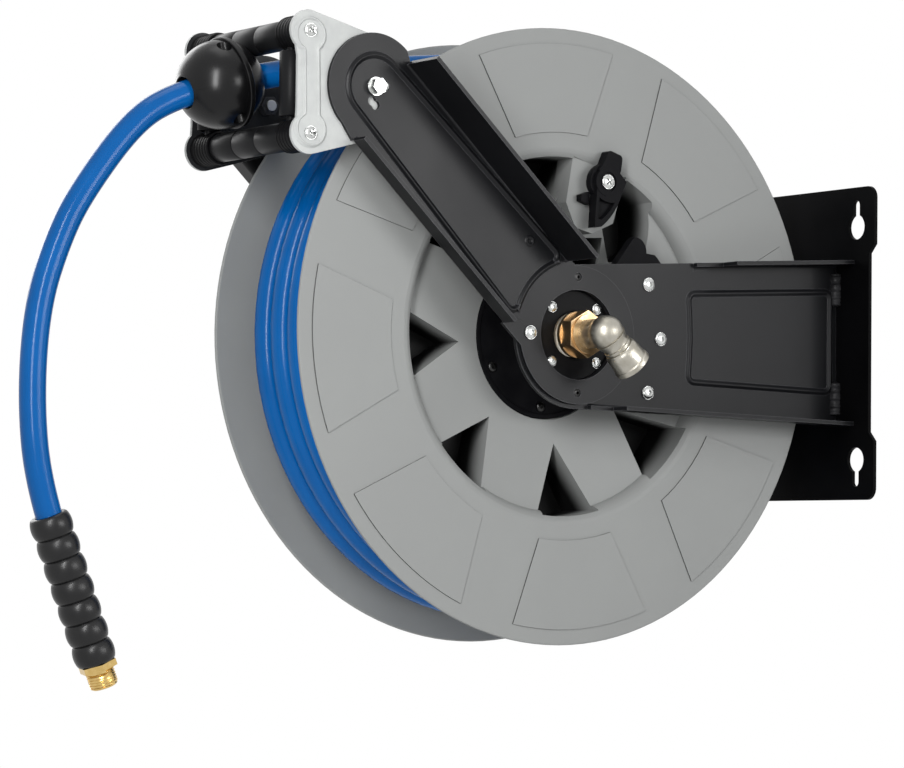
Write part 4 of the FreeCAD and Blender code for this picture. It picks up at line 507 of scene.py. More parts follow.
# Rollers: two long rollers between the brackets and two short upright ones, moulded in black
# plastic. The long ones are made in three lengths, with a fine groove at each seam.
ROLLER_BLACK = ((0.0080, 0.0082, 0.0090), (0.0120, 0.0122, 0.0130))
SEAM_HALF = 0.5 * MM
SEAM_DEPTH = 0.7 * MM
SEAM = ((-1.8, 0.0), (-1.0, 0.25), (0.0, 1.0), (1.0, 0.25), (1.8, 0.0))
END_ROUND = 0.8 * MM
END_CORNER = 0.3 * END_ROUND
PLAY = 0.05 * MM
roller_black = finish("moulded_roller", *ROLLER_BLACK, 0.03, (0.32, 0.42), 0.9, 0.04, 0.0, 0.08)


def lathe(name, profile, centre, axis, sides=64):
    """A closed body of revolution from a loop of (along the axis, radius) points round a line."""
    axis = Vector(axis).normalized()
    side = axis.orthogonal().normalized()
    over = axis.cross(side)
    bm = bmesh.new()
    rings = []
    for along, radius in profile:
        middle = Vector(centre) + axis * along
        if radius < 1e-7:
            rings.append([bm.verts.new(middle)])
            continue
        ring = []
        for k in range(sides):
            a = 2 * math.pi * k / sides
            ring.append(bm.verts.new(middle + side * (radius * math.cos(a)) + over * (radius * math.sin(a))))
        rings.append(ring)
    pairs = list(zip(rings, rings[1:]))
    if len(rings[0]) > 1:
        pairs.append((rings[-1], rings[0]))
    for low, high in pairs:
        for k in range(sides):
            n = (k + 1) % sides
            loop = [low[k % len(low)], low[n % len(low)], high[n % len(high)], high[k % len(high)]]
            corners = list(dict.fromkeys(loop))
            if len(corners) > 2:
                bm.faces.new(corners)
    return piece(name, bm, 50.0)


def turned(name, node, profile, axis, sides):
    """A lathe piece at a CAD node's middle, which replaces the node."""
    obj = lathe(name, profile, middle_of(node), axis, sides)
    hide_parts(node)
    return obj


long_axle_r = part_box("roller_axles")[1].z - middle_of("top_roller").z
for node, name in (("top_roller", "upper_long_roller"), ("bottom_roller", "lower_long_roller")):
    low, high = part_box(node)
    half = high.x
    radius = (high.z - low.z) / 2
    bore = long_axle_r + PLAY
    profile = [(-half, bore), (-half, radius - END_ROUND), (-half + END_CORNER, radius - END_CORNER)]
    profile.append((-half + END_ROUND, radius))
    for seam in (-half / 3, half / 3):
        profile += [(seam + SEAM_HALF * along, radius - SEAM_DEPTH * deep) for along, deep in SEAM]
    profile += [(half - END_ROUND, radius), (half - END_CORNER, radius - END_CORNER)]
    profile += [(half, radius - END_ROUND), (half, bore)]
    dress(turned(name, node, profile, (1, 0, 0), 72), roller_black, node + "_body")
for side, _ in SIDES:
    node = side + "_side_roller"
    low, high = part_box(node)
    half = (high.z - low.z) / 2
    radius = (high.x - low.x) / 2
    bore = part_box("side_roller_pins")[1].x - middle_of("near_side_roller").x + PLAY
    profile = [(-half, bore), (-half, radius - END_ROUND), (-half + END_ROUND, radius)]
    profile += [(half - END_ROUND, radius), (half, radius - END_ROUND), (half, bore)]
    roller = turned(side + "_upright_roller", node, profile, (0, 0, 1), 56)
    dress(roller, roller_black, node + "_body")
coat(zinc, "roller_axles")
coat(roller_black, "side_roller_pins")

# Axle collars: a black moulded block on each axle's end, against the bracket, with fine raised ribs
# round it. It also holds one end of an upright roller's pin.
COLLAR_BLACK = ((0.0045, 0.0045, 0.0050), (0.0065, 0.0065, 0.0070))
RIB_COUNT = 6
RIB_THICK = 0.38 * MM
RIB_MARGIN = 3.0 * MM
BLOCK_ROUND = 0.8 * MM
BLOCK_GAP = 0.4 * MM


def geo(tree, kind, settings=None, **values):
    """The first output of a new Geometry node."""
    return put(tree, "GeometryNode" + kind, settings, **values)[0]


def geometry_tree(name, **sizes):
    """A Geometry Nodes tree with a geometry input and output, and an input for each named size."""
    tree = bpy.data.node_groups.new(name, "GeometryNodeTree")
    tree.interface.new_socket("Geometry", in_out="INPUT", socket_type="NodeSocketGeometry")
    for label, kind in sizes.items():
        tree.interface.new_socket(label.replace("_", " "), in_out="INPUT", socket_type="NodeSocket" + kind)
    tree.interface.new_socket("Geometry", in_out="OUTPUT", socket_type="NodeSocketGeometry")
    return tree, put(tree, "NodeGroupInput")


def ended(tree, given, shape):
    """Make a tree's shape real, with its finish, and send it out."""
    plain = geo(tree, "RealizeInstances", Geometry=shape)
    put(tree, "NodeGroupOutput", Geometry=geo(tree, "SetMaterial", Geometry=plain, Material=given["Finish"]))


def points_at(places, outward=(), turns=()):
    """Loose points as a mesh, with the way each one faces and how far it is turned."""
    mesh = bpy.data.meshes.new("places")
    mesh.from_pydata([tuple(p) for p in places], [], [])
    if outward:
        facing = mesh.attributes.new("outward", "FLOAT_VECTOR", "POINT")
        for spot, value in zip(facing.data, outward):
            spot.vector = value
    if turns:
        turning = mesh.attributes.new("turn", "FLOAT", "POINT")
        for spot, value in zip(turning.data, turns):
            spot.value = value
    return mesh


def plain_mesh(obj):
    """What an object's modifiers make of it."""
    bpy.context.view_layer.update()
    return bpy.data.meshes.new_from_object(obj.evaluated_get(bpy.context.evaluated_depsgraph_get()))


def grown(name, base, tree, smooth=40.0, **values):
    """The plain mesh object that a Geometry Nodes tree makes from base and named values."""
    holder = add(name + "_holder", base)
    modifier = holder.modifiers.new("made", "NODES")
    modifier.node_group = tree
    for item in tree.interface.items_tree:
        label = item.name.replace(" ", "_")
        if item.item_type == "SOCKET" and item.in_out == "INPUT" and label in values:
            modifier[item.identifier] = values[label]
    mesh = plain_mesh(holder)
    holder.modifiers.remove(modifier)
    bpy.data.objects.remove(holder)
    mesh.name = name
    for face in mesh.polygons:
        face.use_smooth = True
    mesh.set_sharp_from_angle(angle=math.radians(smooth))
    return add(name, mesh)


def joined(name, *pieces):
    """Several pieces as one mesh object."""
    bm = bmesh.new()
    for one in pieces:
        bm.from_mesh(one.data)
    for one in pieces:
        bpy.data.objects.remove(one)
    return piece(name, bm, 40.0, outward=False)


tree, given = geometry_tree(
    "collar_ribs", Count="Int", Pitch="Float", Radius="Float", Thickness="Float", Finish="Material"
)
step = put(tree, "ShaderNodeCombineXYZ", X=given["Pitch"])[0]
row = geo(tree, "MeshLine", Count=given["Count"], Offset=step)
round_path = geo(tree, "CurvePrimitiveCircle", Resolution=56, Radius=given["Radius"])
section = geo(tree, "CurvePrimitiveCircle", Resolution=8, Radius=given["Thickness"])
band = geo(tree, "CurveToMesh", Curve=round_path, Profile_Curve=section)
band = geo(tree, "Transform", Geometry=band, Rotation=(0.0, math.pi / 2, 0.0))
ribs = geo(tree, "InstanceOnPoints", Points=row, Instance=band)
ended(tree, given, geo(tree, "InstanceOnPoints", Points=given[0], Instance=ribs))

collar_black = finish("ribbed_collar", *COLLAR_BLACK, 0.02, (0.36, 0.46), 0.8, 0.04, 0.0, 0.06)
collar_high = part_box("axle_collars")[1]
collar_out = collar_high.x
collar_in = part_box("top_roller")[1].x + BLOCK_GAP
block_r = collar_high.z - middle_of("top_roller").z - RIB_THICK
profile = [(collar_in, long_axle_r), (collar_in, block_r - BLOCK_ROUND), (collar_in + BLOCK_ROUND, block_r)]
profile += [(collar_out - BLOCK_ROUND, block_r), (collar_out, block_r - BLOCK_ROUND)]
profile.append((collar_out, long_axle_r))
blocks = []
starts = []
for node in ("top_roller", "bottom_roller"):
    c = middle_of(node)
    for side in (1, -1):
        blocks.append(lathe("block", [(side * along, r) for along, r in profile], c, (1, 0, 0), 56))
        starts.append((collar_in + RIB_MARGIN if side > 0 else -(collar_out - RIB_MARGIN), c.y, c.z))
ribs = grown(
    "collar_ribs", points_at(starts), tree, Count=RIB_COUNT, Radius=block_r, Thickness=RIB_THICK,
    Pitch=(collar_out - collar_in - 2 * RIB_MARGIN) / (RIB_COUNT - 1), Finish=collar_black,
)
collars = joined("ribbed_collars", ribs, *blocks)
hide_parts("axle_collars")
dress(collars, collar_black, "frame")

# Screws: zinc-plated steel, domed, with a six-sided socket or a cross in the head. They hold the
# arms, bearing cap, hub discs, axles and latch, and each is set in its hole at its own turn.
SCREW_ZINC = ((0.62, 0.63, 0.62), (0.50, 0.51, 0.50))
SCREW_DARK = ((0.03, 0.03, 0.03), (0.06, 0.06, 0.06))
SHANK_SHARE = 0.5
SOCKET_DEEP = 0.6
RIM_SHARE = 0.42
DOME_WIDE, DOME_HIGH, DOME_AT = 0.97, 0.62, 0.38
CROSS_LONG, CROSS_WIDE = 2.3, 0.5
PIN_REACH = 42.5 * MM
PIN_SUNK = 1.2 * MM

screw_tree, given = geometry_tree(
    "domed_screws", Head_Radius="Float", Head_Height="Float", Socket_Radius="Float", Cross="Bool",
    Shank_Length="Float", Finish="Material",
)
DIFFERENCE, UNION = {"operation": "DIFFERENCE"}, {"operation": "UNION"}


def times(a, b):
    """Two sizes of the screws' tree multiplied."""
    return maths(screw_tree, "MULTIPLY", a, b)


def form(kind, settings=None, **values):
    """The first output of a new Geometry node in the screws' tree."""
    return geo(screw_tree, kind, settings, **values)


def vector(**parts):
    """A vector from its X, Y and Z, each zero unless given."""
    return put(screw_tree, "ShaderNodeCombineXYZ", **parts)[0]


def cylinder(corners, radius, depth, up):
    """A cylinder of so many sides, raised along its own axis."""
    body = form("MeshCylinder", Vertices=corners, Radius=radius, Depth=depth)
    return form("Transform", Geometry=body, Translation=vector(Z=up))


def outward_turn(tree):
    """The rotation that stands a piece on its point, along the way the point faces."""
    facing = geo(tree, "InputNamedAttribute", {"data_type": "FLOAT_VECTOR"}, Name="outward")
    return put(tree, "FunctionNodeAlignRotationToVector", {"axis": "Z"}, Vector=facing)[0]


head_r, head_h = given["Head Radius"], given["Head Height"]
socket_r, length = given["Socket Radius"], given["Shank Length"]
rim = cylinder(40, head_r, times(head_h, RIM_SHARE), times(head_h, RIM_SHARE / 2))
ball = form("MeshUVSphere", Segments=40, Rings=20, Radius=1.0)
flat = vector(X=times(head_r, DOME_WIDE), Y=times(head_r, DOME_WIDE), Z=times(head_h, DOME_HIGH))
ball = form("Transform", Geometry=ball, Scale=flat, Translation=vector(Z=times(head_h, DOME_AT)))
under = cylinder(12, times(head_r, 2.0), times(head_h, 2.0), times(head_h, -1.0))
dome = form("MeshBoolean", DIFFERENCE, Mesh_1=ball, Mesh_2=under)
head = form("MeshBoolean", UNION, Mesh_2=[rim, dome])
deep = times(head_h, 2 * SOCKET_DEEP)
hexa = form("MeshCylinder", Vertices=6, Radius=socket_r, Depth=deep)
bar = form("MeshCube", Size=vector(X=times(socket_r, CROSS_LONG), Y=times(socket_r, CROSS_WIDE), Z=deep))
other = form("Transform", Geometry=bar, Rotation=(0.0, 0.0, math.pi / 2))
cross = form("MeshBoolean", UNION, Mesh_2=[bar, other])
drive = form("Switch", {"input_type": "GEOMETRY"}, Switch=given["Cross"], **{"False": hexa, "True": cross})
drive = form("Transform", Geometry=drive, Translation=vector(Z=head_h))
driven = form("MeshBoolean", DIFFERENCE, Mesh_1=head, Mesh_2=drive)
shank = cylinder(20, times(head_r, SHANK_SHARE), length, times(length, -0.5))
whole = form("JoinGeometry", Geometry=[driven, shank])
turn = form("InputNamedAttribute", {"data_type": "FLOAT"}, Name="turn")
facing = {0: outward_turn(screw_tree), 1: vector(Z=turn)}
spin = put(screw_tree, "FunctionNodeRotateRotation", {"rotation_space": "LOCAL"}, facing)[0]
ended(screw_tree, given, form("InstanceOnPoints", Points=given[0], Instance=whole, Rotation=spin))


def solids_of(node):
    """The lowest and highest corners of each separate solid in a CAD node."""
    bm = bmesh.new()
    bm.from_mesh(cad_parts[node].data)
    bmesh.ops.remove_doubles(bm, verts=bm.verts, dist=0.001 * MM)
    seen = set()
    boxes = []
    for start in bm.verts:
        if start in seen:
            continue
        seen.add(start)
        group, todo = [], [start]
        while todo:
            vert = todo.pop()
            group.append(vert.co.copy())
            for near in (edge.other_vert(vert) for edge in vert.link_edges):
                if near not in seen:
                    seen.add(near)
                    todo.append(near)
        boxes.append([Vector([end(p[i] for p in group) for i in range(3)]) for end in (min, max)])
    bm.free()
    return boxes


def screws(node, name, head_h, socket_share, cross, material, body, shank=6.0, wide=0.80):
    """Screws in place of a CAD node of them: each head a share of its solid's width, at its place."""
    places, facings, turns = [], [], []
    for k, (low, high) in enumerate(solids_of(node)):
        side = 1 if high.x + low.x > 0 else -1
        out = high.x if side > 0 else low.x
        head_r = wide * (high.z - low.z) / 2
        places.append((out - side * head_h * MM, (low.y + high.y) / 2, (low.z + high.z) / 2))
        facings.append((side, 0.0, 0.0))
        turns.append(0.7 + 1.9 * k)
    obj = grown(
        name, points_at(places, facings, turns), screw_tree, Head_Radius=head_r, Head_Height=head_h * MM,
        Socket_Radius=head_r * socket_share, Cross=cross, Shank_Length=shank * MM, Finish=material,
    )
    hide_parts(node)
    dress(obj, material, body)


screw_zinc = finish("screw_zinc", *SCREW_ZINC, 0.004, (0.18, 0.30), 0.5, 0.02, 1.0)
dark_zinc = finish("screw_blackened", *SCREW_DARK, 0.004, (0.30, 0.42), 0.5, 0.02, 1.0)
screws("axle_screws", "axle_end_screws", 3.2, 0.42, True, screw_zinc, "frame")
screws("arm_screws", "arm_fixing_screws", 3.0, 0.42, False, screw_zinc, "frame")
screws("cap_screws", "cap_fixing_screws", 2.4, 0.42, False, screw_zinc, "frame")
screws("hub_screws", "hub_fixing_screws", 2.4, 0.45, False, dark_zinc, "spool")
screws("pawl_screw", "latch_pivot_screw", 2.6, 0.50, True, screw_zinc, "spool", 20.0)
coat(screw_zinc, "spool_tie_screws")
ways = [(side, up) for side in (1, -1) for up in (1, -1)]
places = [(side * (GUIDE_WEB_X - PIN_SUNK), hub_y, hub_z + up * PIN_REACH) for side, up in ways]
small_screws = grown(
    "arm_locating_screws", points_at(places, [(side, 0.0, 0.0) for side, up in ways], [0.2, 0.9, 1.4, 2.2]),
    screw_tree, Head_Radius=3.0 * MM, Head_Height=1.6 * MM, Socket_Radius=1.3 * MM, Cross=False,
    Shank_Length=2.0 * MM, Finish=dark_zinc,
)
dress(small_screws, dark_zinc, "frame")

# Bearing: a round steel housing behind the near arm, its cover plate seen through the arms' holes,
# and the plastic bush that the shaft turns in. The far arm carries a plain plate of the same shape.
BEARING_BLACK = ((0.0045, 0.0045, 0.0050), (0.0070, 0.0070, 0.0075))
BUSH_WHITE = ((0.72, 0.70, 0.62), (0.66, 0.64, 0.55))
bearing_black = finish("bearing_satin", *BEARING_BLACK, 0.02, (0.34, 0.42), 0.9, 0.05, 0.0, 0.05)
bush_white = finish("bush_nylon", *BUSH_WHITE, 0.01, (0.40, 0.50), 0.6, 0.03)
for node, name, metal, slot in (
    ("bearing_cap", "shaft_cover", bearing_black, "cap_metal"),
    ("bearing_housing", "shaft_housing", bearing_black, "cap_metal"),
    ("arbor_cap", "arbor_cover", bearing_black, "cap_metal"),
    ("arbor_carrier", "arbor_plate", bearing_black, "cap_metal"),
    ("spring_arbor", "fixed_arbor", zinc, "zinc_plate"),
    ("arbor_nut", "arbor_end_nut", zinc, "zinc_plate"),
):
    dress(softened(node, name, 0.3), metal, "frame")
coat(bush_white, "shaft_bush", "arbor_bush")

# Ratchet: a black toothed plate behind the near base arm. The latch on the spool drops into its
# teeth and holds the hose at any length.
LATCH_BLACK = ((0.0055, 0.0055, 0.0065), (0.0085, 0.0085, 0.0095))
latch_black = finish("latch_plastic", *LATCH_BLACK, 0.015, (0.30, 0.38), 0.7, 0.04, 0.0, 0.025)
dress(softened("ratchet_segment", "toothed_plate", 0.5, 3), latch_black, "frame")

# Spool: two halves moulded in grey plastic, joined at mid-width. Each has a flat rim with eight
# raised panels, and a dish with eight deep three-sided pockets round the hub.
HUB = Vector((0.0, hub_y, hub_z))
SPOOL_GREY = ((0.269, 0.276, 0.272), (0.288, 0.296, 0.291))
PANEL_STEP_PAINTED_SHADE = (0.075, 0.078, 0.077)
# The pockets' insides go to near black the deeper they lie, which is painted shade.
POCKET_PAINTED_SHADE = (0.0012, 0.0012, 0.0013)
CUTS = (136.0 * MM, 70.0 * MM)
DISH_FOOT = (48.7 * MM, 129.0 * MM)
DISH_SEAT = (36.5 * MM, 61.2 * MM)
POCKET_PAINTED_SHADE_FROM = 0.5 * MM
POCKET_PAINTED_SHADE_TO = 24.0 * MM
PANELS_FROM = 144.0 * MM
PANELS_TO = 224.0 * MM
RIM_BACK_X = 54.0 * MM


def painted_shade_in_pockets(mat):
    """Paint shade inside the pockets: a finish goes dark by how far it lies under the dish's open face."""
    tree = mat.node_tree
    place = put(tree, "ShaderNodeTexCoord")["Object"]
    spread = put(tree, "ShaderNodeSeparateXYZ", None, {0: place})
    across, upright = (
        maths(tree, "POWER", maths(tree, "SUBTRACT", spread[axis], middle), 2.0)
        for axis, middle in (("Y", hub_y), ("Z", hub_z))
    )
    reach = maths(tree, "SQRT", maths(tree, "ADD", across, upright))
    slope = (DISH_FOOT[0] - DISH_SEAT[0]) / (DISH_FOOT[1] - DISH_SEAT[1])
    face = maths(tree, "ADD", maths(tree, "MULTIPLY", reach, slope), DISH_FOOT[0] - DISH_FOOT[1] * slope)
    depth = maths(tree, "SUBTRACT", face, maths(tree, "ABSOLUTE", spread["X"]))
    pocket_painted_shade = put(
        tree, "ShaderNodeMapRange", {"interpolation_type": "SMOOTHSTEP"},
        From_Min=POCKET_PAINTED_SHADE_FROM, From_Max=POCKET_PAINTED_SHADE_TO, Value=depth,
    )
    with_painted_shade(mat, pocket_painted_shade[0], POCKET_PAINTED_SHADE)


def painted_shade_panel_steps(face):
    """True for the thin steps round the raised panels, which take painted shade."""
    reach = math.hypot(face.center.y - hub_y, face.center.z - hub_z)
    return PANELS_FROM < reach < PANELS_TO and abs(face.normal.x) < 0.97 and abs(face.center.x) > RIM_BACK_X


spool_grey, dish_grey_painted_shade = (
    finish(name, *SPOOL_GREY, 0.09, (0.50, 0.60), 0.45, 0.025, 0.0, 0.30)
    for name in ("grey_moulding", "grey_moulding_deep")
)
# The thin steps round the rim's panels take painted shade in dark grey.
painted_shade_on_marks(spool_grey, PANEL_STEP_PAINTED_SHADE)
painted_shade_in_pockets(dish_grey_painted_shade)
for side, _ in SIDES:
    rim = softened(side + "_flange", side + "_spool_rim", 0.5, 3, 24.0, CUTS)
    mark_painted_shade(rim, painted_shade_panel_steps)
    dress(rim, spool_grey, "spool")
    for node, name in (("_dish", "_spool_dish"), ("_hub", "_hub_plate")):
        dress(softened(side + node, side + name, 0.8, 3, 24.0, CUTS), dish_grey_painted_shade, "spool")

# Hub discs: a moulded black plastic cover over each hub, dished round its edge. Small screws hold
# it to the spool, and it turns with it.
for side, _ in SIDES:
    dress(softened(side + "_hub_disc", side + "_hub_cover", 0.4), latch_black, "spool")

# Inlet: a turned brass shaft that carries the water into the drum, with its seals and clip, and a
# brass swivel nut that holds the elbow to it. The nut has a six-sided grip between two thin rings.
TURNED_BRASS = ((0.64, 0.46, 0.27), (0.54, 0.37, 0.20))
SEAL_BLACK = ((0.010, 0.010, 0.010), (0.014, 0.014, 0.014))
SPRING_STEEL = ((0.50, 0.50, 0.50), (0.42, 0.42, 0.43))
brass = finish("turned_brass", *TURNED_BRASS, 0.004, (0.28, 0.40), 0.4, 0.02, 1.0)
seal_black = finish("seal_rubber", *SEAL_BLACK, 0.006, (0.46, 0.56), 0.5, 0.02)
spring_bright = finish("spring_steel", *SPRING_STEEL, 0.006, (0.26, 0.36), 0.4, 0.01, 1.0)
dress(softened("hollow_shaft", "water_shaft", 0.3), brass, "spool")
coat(seal_black, "swivel_seals")
coat(spring_bright, "swivel_clip")
dress(softened("swivel_nut", "brass_swivel_nut", 0.6, 3, 22.0), brass, "inlet_swivel")

# Inlet elbow: a brass casting, plated, that turns a right angle in a ball. Its outer leg swells in
# small steps to a thick band round the threaded mouth, with a rim at the end.
PLATED = ((0.44, 0.42, 0.37), (0.36, 0.34, 0.29))
INLET_TILT = math.radians(-43.5)
INLET_OUT = Vector((0.0, math.cos(INLET_TILT), math.sin(INLET_TILT)))
ELBOW_IN_X = 93.9 * MM
BALL_X = 114.5 * MM
BALL_R = 12.7 * MM
BALL_STEPS = 20
NECK = ((0.0, 2.0), (0.0, 10.7), (11.0, 10.8), (13.5, 11.0), (15.5, 11.5), (17.5, 12.2), (17.5, 2.0))
LEG = (
    (5.0, 2.0), (5.0, 12.5), (7.5, 11.4), (9.5, 10.5), (11.5, 10.1), (12.6, 10.1), (12.9, 10.9),
    (14.0, 10.9), (14.3, 10.3), (15.4, 10.3), (15.7, 11.5), (17.0, 11.6), (17.8, 12.3), (20.0, 12.7),
    (29.4, 13.3), (30.2, 14.1), (33.4, 14.2), (34.0, 13.6), (34.0, 10.4), (33.2, 9.6), (20.0, 9.6),
    (20.0, 2.0),
)
plated = finish("plated_casting", *PLATED, 0.006, (0.32, 0.44), 1.2, 0.16, 1.0)
ball_centre = HUB + Vector((BALL_X, 0.0, 0.0))
neck, leg = ([(along * MM, radius * MM) for along, radius in shape] for shape in (NECK, LEG))
ball_turns = [math.pi * k / BALL_STEPS for k in range(BALL_STEPS + 1)]
bend = [(-BALL_R * math.cos(a), BALL_R * math.sin(a)) for a in ball_turns]
elbow = joined(
    "plated_elbow",
    lathe("neck", neck, HUB + Vector((ELBOW_IN_X, 0.0, 0.0)), (1, 0, 0), 48),
    lathe("ball", bend, ball_centre, (1, 0, 0), 48),
    lathe("mouth", leg, ball_centre, INLET_OUT, 64),
)
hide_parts("inlet_elbow")
dress(elbow, plated, "inlet_swivel")

# Spring motor: a flat steel spring wound in a pressed steel case inside the drum, between the far
# dish and the water fitting. It winds the hose back in.
CASE_STEEL = ((0.19, 0.195, 0.20), (0.23, 0.235, 0.24))
case_grey = finish("case_steel", *CASE_STEEL, 0.03, (0.40, 0.50), 0.8, 0.03, 0.0, 0.4)
coat(spring_bright, "main_spring")
coat(case_grey, "spring_case", "spring_case_lid")

# Wound hose: half-inch rubber hose with a smooth blue cover, in two visible layers. The under layer
# lies turn against turn, and the outer one in open turns that cross over on the wall side.
WOUND_BLUE = ((0.0010, 0.098, 0.340), (0.0016, 0.114, 0.385))
HOSE_R = 9.5 * MM
UNDER_R = 180.8 * MM
UNDER_FROM_X = 47.0 * MM
UNDER_PITCH = 19.2 * MM
OUTER_R = 200.0 * MM
LANES = (-29.0 * MM, -6.0 * MM, 17.0 * MM)
CROSS_DEG = 36
CLIMB_FROM_DEG = -44
SINK_DEG = 30
STEP_DEG = 4
UNDER_TURNS = 2 * UNDER_FROM_X / UNDER_PITCH


def tube(name, line, radius, sides=32):
    """A closed round tube along a line, with a UV map: metres along it, and turns round it."""
    bm = bmesh.new()
    uv = bm.loops.layers.uv.new("along")
    side = (line[1] - line[0]).orthogonal().normalized()
    rings = []
    runs = [0.0]
    for i, p in enumerate(line):
        before = line[max(i - 1, 0)]
        after = line[min(i + 1, len(line) - 1)]
        ahead = (after - before).normalized()
        side = (side - ahead * side.dot(ahead)).normalized()
        over = ahead.cross(side)
        turns = [2 * math.pi * k / sides for k in range(sides)]
        rings.append([bm.verts.new(p + (side * math.cos(t) + over * math.sin(t)) * radius) for t in turns])
        if i:
            runs.append(runs[-1] + (p - line[i - 1]).length)
    for i in range(len(rings) - 1):
        for k in range(sides):
            n = (k + 1) % sides
            face = bm.faces.new((rings[i][k], rings[i][n], rings[i + 1][n], rings[i + 1][k]))
            marks = ((runs[i], k), (runs[i], k + 1), (runs[i + 1], k + 1), (runs[i + 1], k))
            for loop, mark in zip(face.loops, marks):
                loop[uv].uv = (mark[0], mark[1] / sides)
            face.smooth = True
    bm.faces.new(list(reversed(rings[0])))
    bm.faces.new(rings[-1])
    mesh = bpy.data.meshes.new(name)
    bm.to_mesh(mesh)
    bm.free()
    return add(name, mesh)


def hose(name, node, line, sides, blue, body):
    """A length of hose along a line, which replaces a CAD node."""
    obj = tube(name, line, HOSE_R, sides)
    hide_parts(node)
    dress(obj, blue, body)
    return obj


def hose_cover(name, colour, second):
    """Blue rubber: a soft sheen with faint lengthwise rubs and a fine weave pressed in from below."""
    mat = finish(name, colour, second, 0.05, (0.20, 0.30), 0.5, 0.012, 0.0, 0.15)
    tree = mat.node_tree
    place = put(tree, "ShaderNodeUVMap", {"uv_map": "along"})[0]
    stretch = put(tree, "ShaderNodeMapping", Scale=(9.0, 22.0, 1.0), Vector=place)[0]
    rubs = put(tree, "ShaderNodeTexNoise", Scale=1.0, Detail=5.0, Vector=stretch)[0]
    dull = put(
        tree, "ShaderNodeMapRange", From_Min=0.42, From_Max=0.72, To_Min=0.14, To_Max=0.26, Value=rubs
    )
    wire(tree, tree.nodes["Principled BSDF"], {"Roughness": dull[0]})
    return mat


def round_drum(x, radius, degrees):
    """A point round the drum, in degrees from the wall side."""
    a = math.radians(degrees)
    return Vector((x, HUB.y + radius * math.cos(a), HUB.z + radius * math.sin(a)))


def eased(t):
    """From 0 to 1 with no kink at either end."""
    t = min(1.0, max(0.0, t))
    return t * t * (3.0 - 2.0 * t)


wound_blue = hose_cover("blue_hose_wound", *WOUND_BLUE)
under_line = []
steps = int(UNDER_TURNS * 360 / STEP_DEG)
for k in range(steps + 1):
    done = k / steps
    degrees = CLIMB_FROM_DEG - UNDER_TURNS * 360 * (1 - done)
    under_line.append(round_drum(UNDER_FROM_X * (1 - 2 * done), UNDER_R, degrees))
hose("under_layer", "hose_core", under_line, 24, wound_blue, "spool")
outer_line = []
last = 360 * len(LANES) - CROSS_DEG
for degrees in range(CLIMB_FROM_DEG, last + SINK_DEG + 1, STEP_DEG):
    if degrees < CROSS_DEG:
        share = eased((degrees - CLIMB_FROM_DEG) / (CROSS_DEG - CLIMB_FROM_DEG))
        x = -UNDER_FROM_X + (LANES[0] + UNDER_FROM_X) * share
        radius = UNDER_R + (OUTER_R - UNDER_R) * share
    elif degrees > last:
        x = LANES[-1]
        radius = OUTER_R - (OUTER_R - UNDER_R) * eased((degrees - last) / SINK_DEG)
    else:
        turn, within = divmod(degrees + CROSS_DEG, 360)
        after = LANES[min(turn, len(LANES) - 1)]
        before = LANES[max(turn - 1, 0)]
        x = before + (after - before) * eased(within / (2 * CROSS_DEG))
        radius = OUTER_R
    outer_line.append(round_drum(x, radius, degrees))
hose("outer_turns", "wound_hose", outer_line, 40, wound_blue, "spool")

# Drum fitting: where the hose's inner end is fixed. A brass elbow on the shaft carries the water
# into the hose, which a steel clamp holds.
INNER_FROM = 58.0 * MM
INNER_TO = 136.0 * MM
INNER_STEPS = 8
coat(brass, "drum_fitting")
coat(spring_bright, "hose_clamp")
foot = Vector((middle_of("hose_clamp").x, HUB.y, HUB.z))
spoke = (middle_of("inner_hose") - foot).normalized()
reaches = [INNER_FROM + (INNER_TO - INNER_FROM) * k / INNER_STEPS for k in range(INNER_STEPS + 1)]
hose("inner_end", "inner_hose", [foot + spoke * reach for reach in reaches], 32, wound_blue, "spool")

# Hose lead: the same hose from the last turn, over the drum's top, between the rollers and into the
# ball stop. It lies in its own lane and leaves the drum in one easy curve.
LEAD_LANE = 37.0 * MM
LEAD_R = 200.6 * MM
LEAD_FROM_DEG = -20
LEAD_TO_DEG = 94
LEAD_STEP_DEG = 12
LEAD_AHEAD = 64.0 * MM
LEAD_VIA = Vector((0.020, -0.388, 0.187))
STOP = Vector((0.0, -0.507, 0.1693))
STOP_TILT = math.radians(15.5)
OUTWARD = Vector((0.0, -math.cos(STOP_TILT), -math.sin(STOP_TILT)))
BEFORE_STOP = 62.0 * MM
PAST_STOP = 10.0 * MM


def smooth_line(points, smooth=24):
    """Points along a NURBS line through a route's corners."""
    data = bpy.data.curves.new("route", "CURVE")
    data.dimensions = "3D"
    data.resolution_u = smooth
    spline = data.splines.new("NURBS")
    spline.points.add(len(points) - 1)
    for point, place in zip(spline.points, points):
        point.co = (*place, 1.0)
    spline.order_u = 3
    spline.use_endpoint_u = True
    obj = add("route", data)
    mesh = plain_mesh(obj)
    line = [v.co.copy() for v in mesh.vertices]
    bpy.data.objects.remove(obj)
    bpy.data.meshes.remove(mesh)
    return line


corner_r = LEAD_R / math.cos(math.radians(LEAD_STEP_DEG / 2))
lead_route = [round_drum(LEAD_LANE, LEAD_R, LEAD_FROM_DEG)]
degrees = LEAD_FROM_DEG + LEAD_STEP_DEG / 2
while degrees < LEAD_TO_DEG:
    lead_route.append(round_drum(LEAD_LANE, corner_r, degrees))
    degrees += LEAD_STEP_DEG
leave = round_drum(LEAD_LANE, LEAD_R, LEAD_TO_DEG)
off = math.radians(LEAD_TO_DEG)
lead_route += [leave + Vector((0.0, -math.sin(off), math.cos(off))) * LEAD_AHEAD, LEAD_VIA]
lead_route += [STOP - OUTWARD * BEFORE_STOP, STOP + OUTWARD * PAST_STOP]
hose("hose_to_stop", "hose_lead", smooth_line(lead_route, 10), 40, wound_blue, "frame")

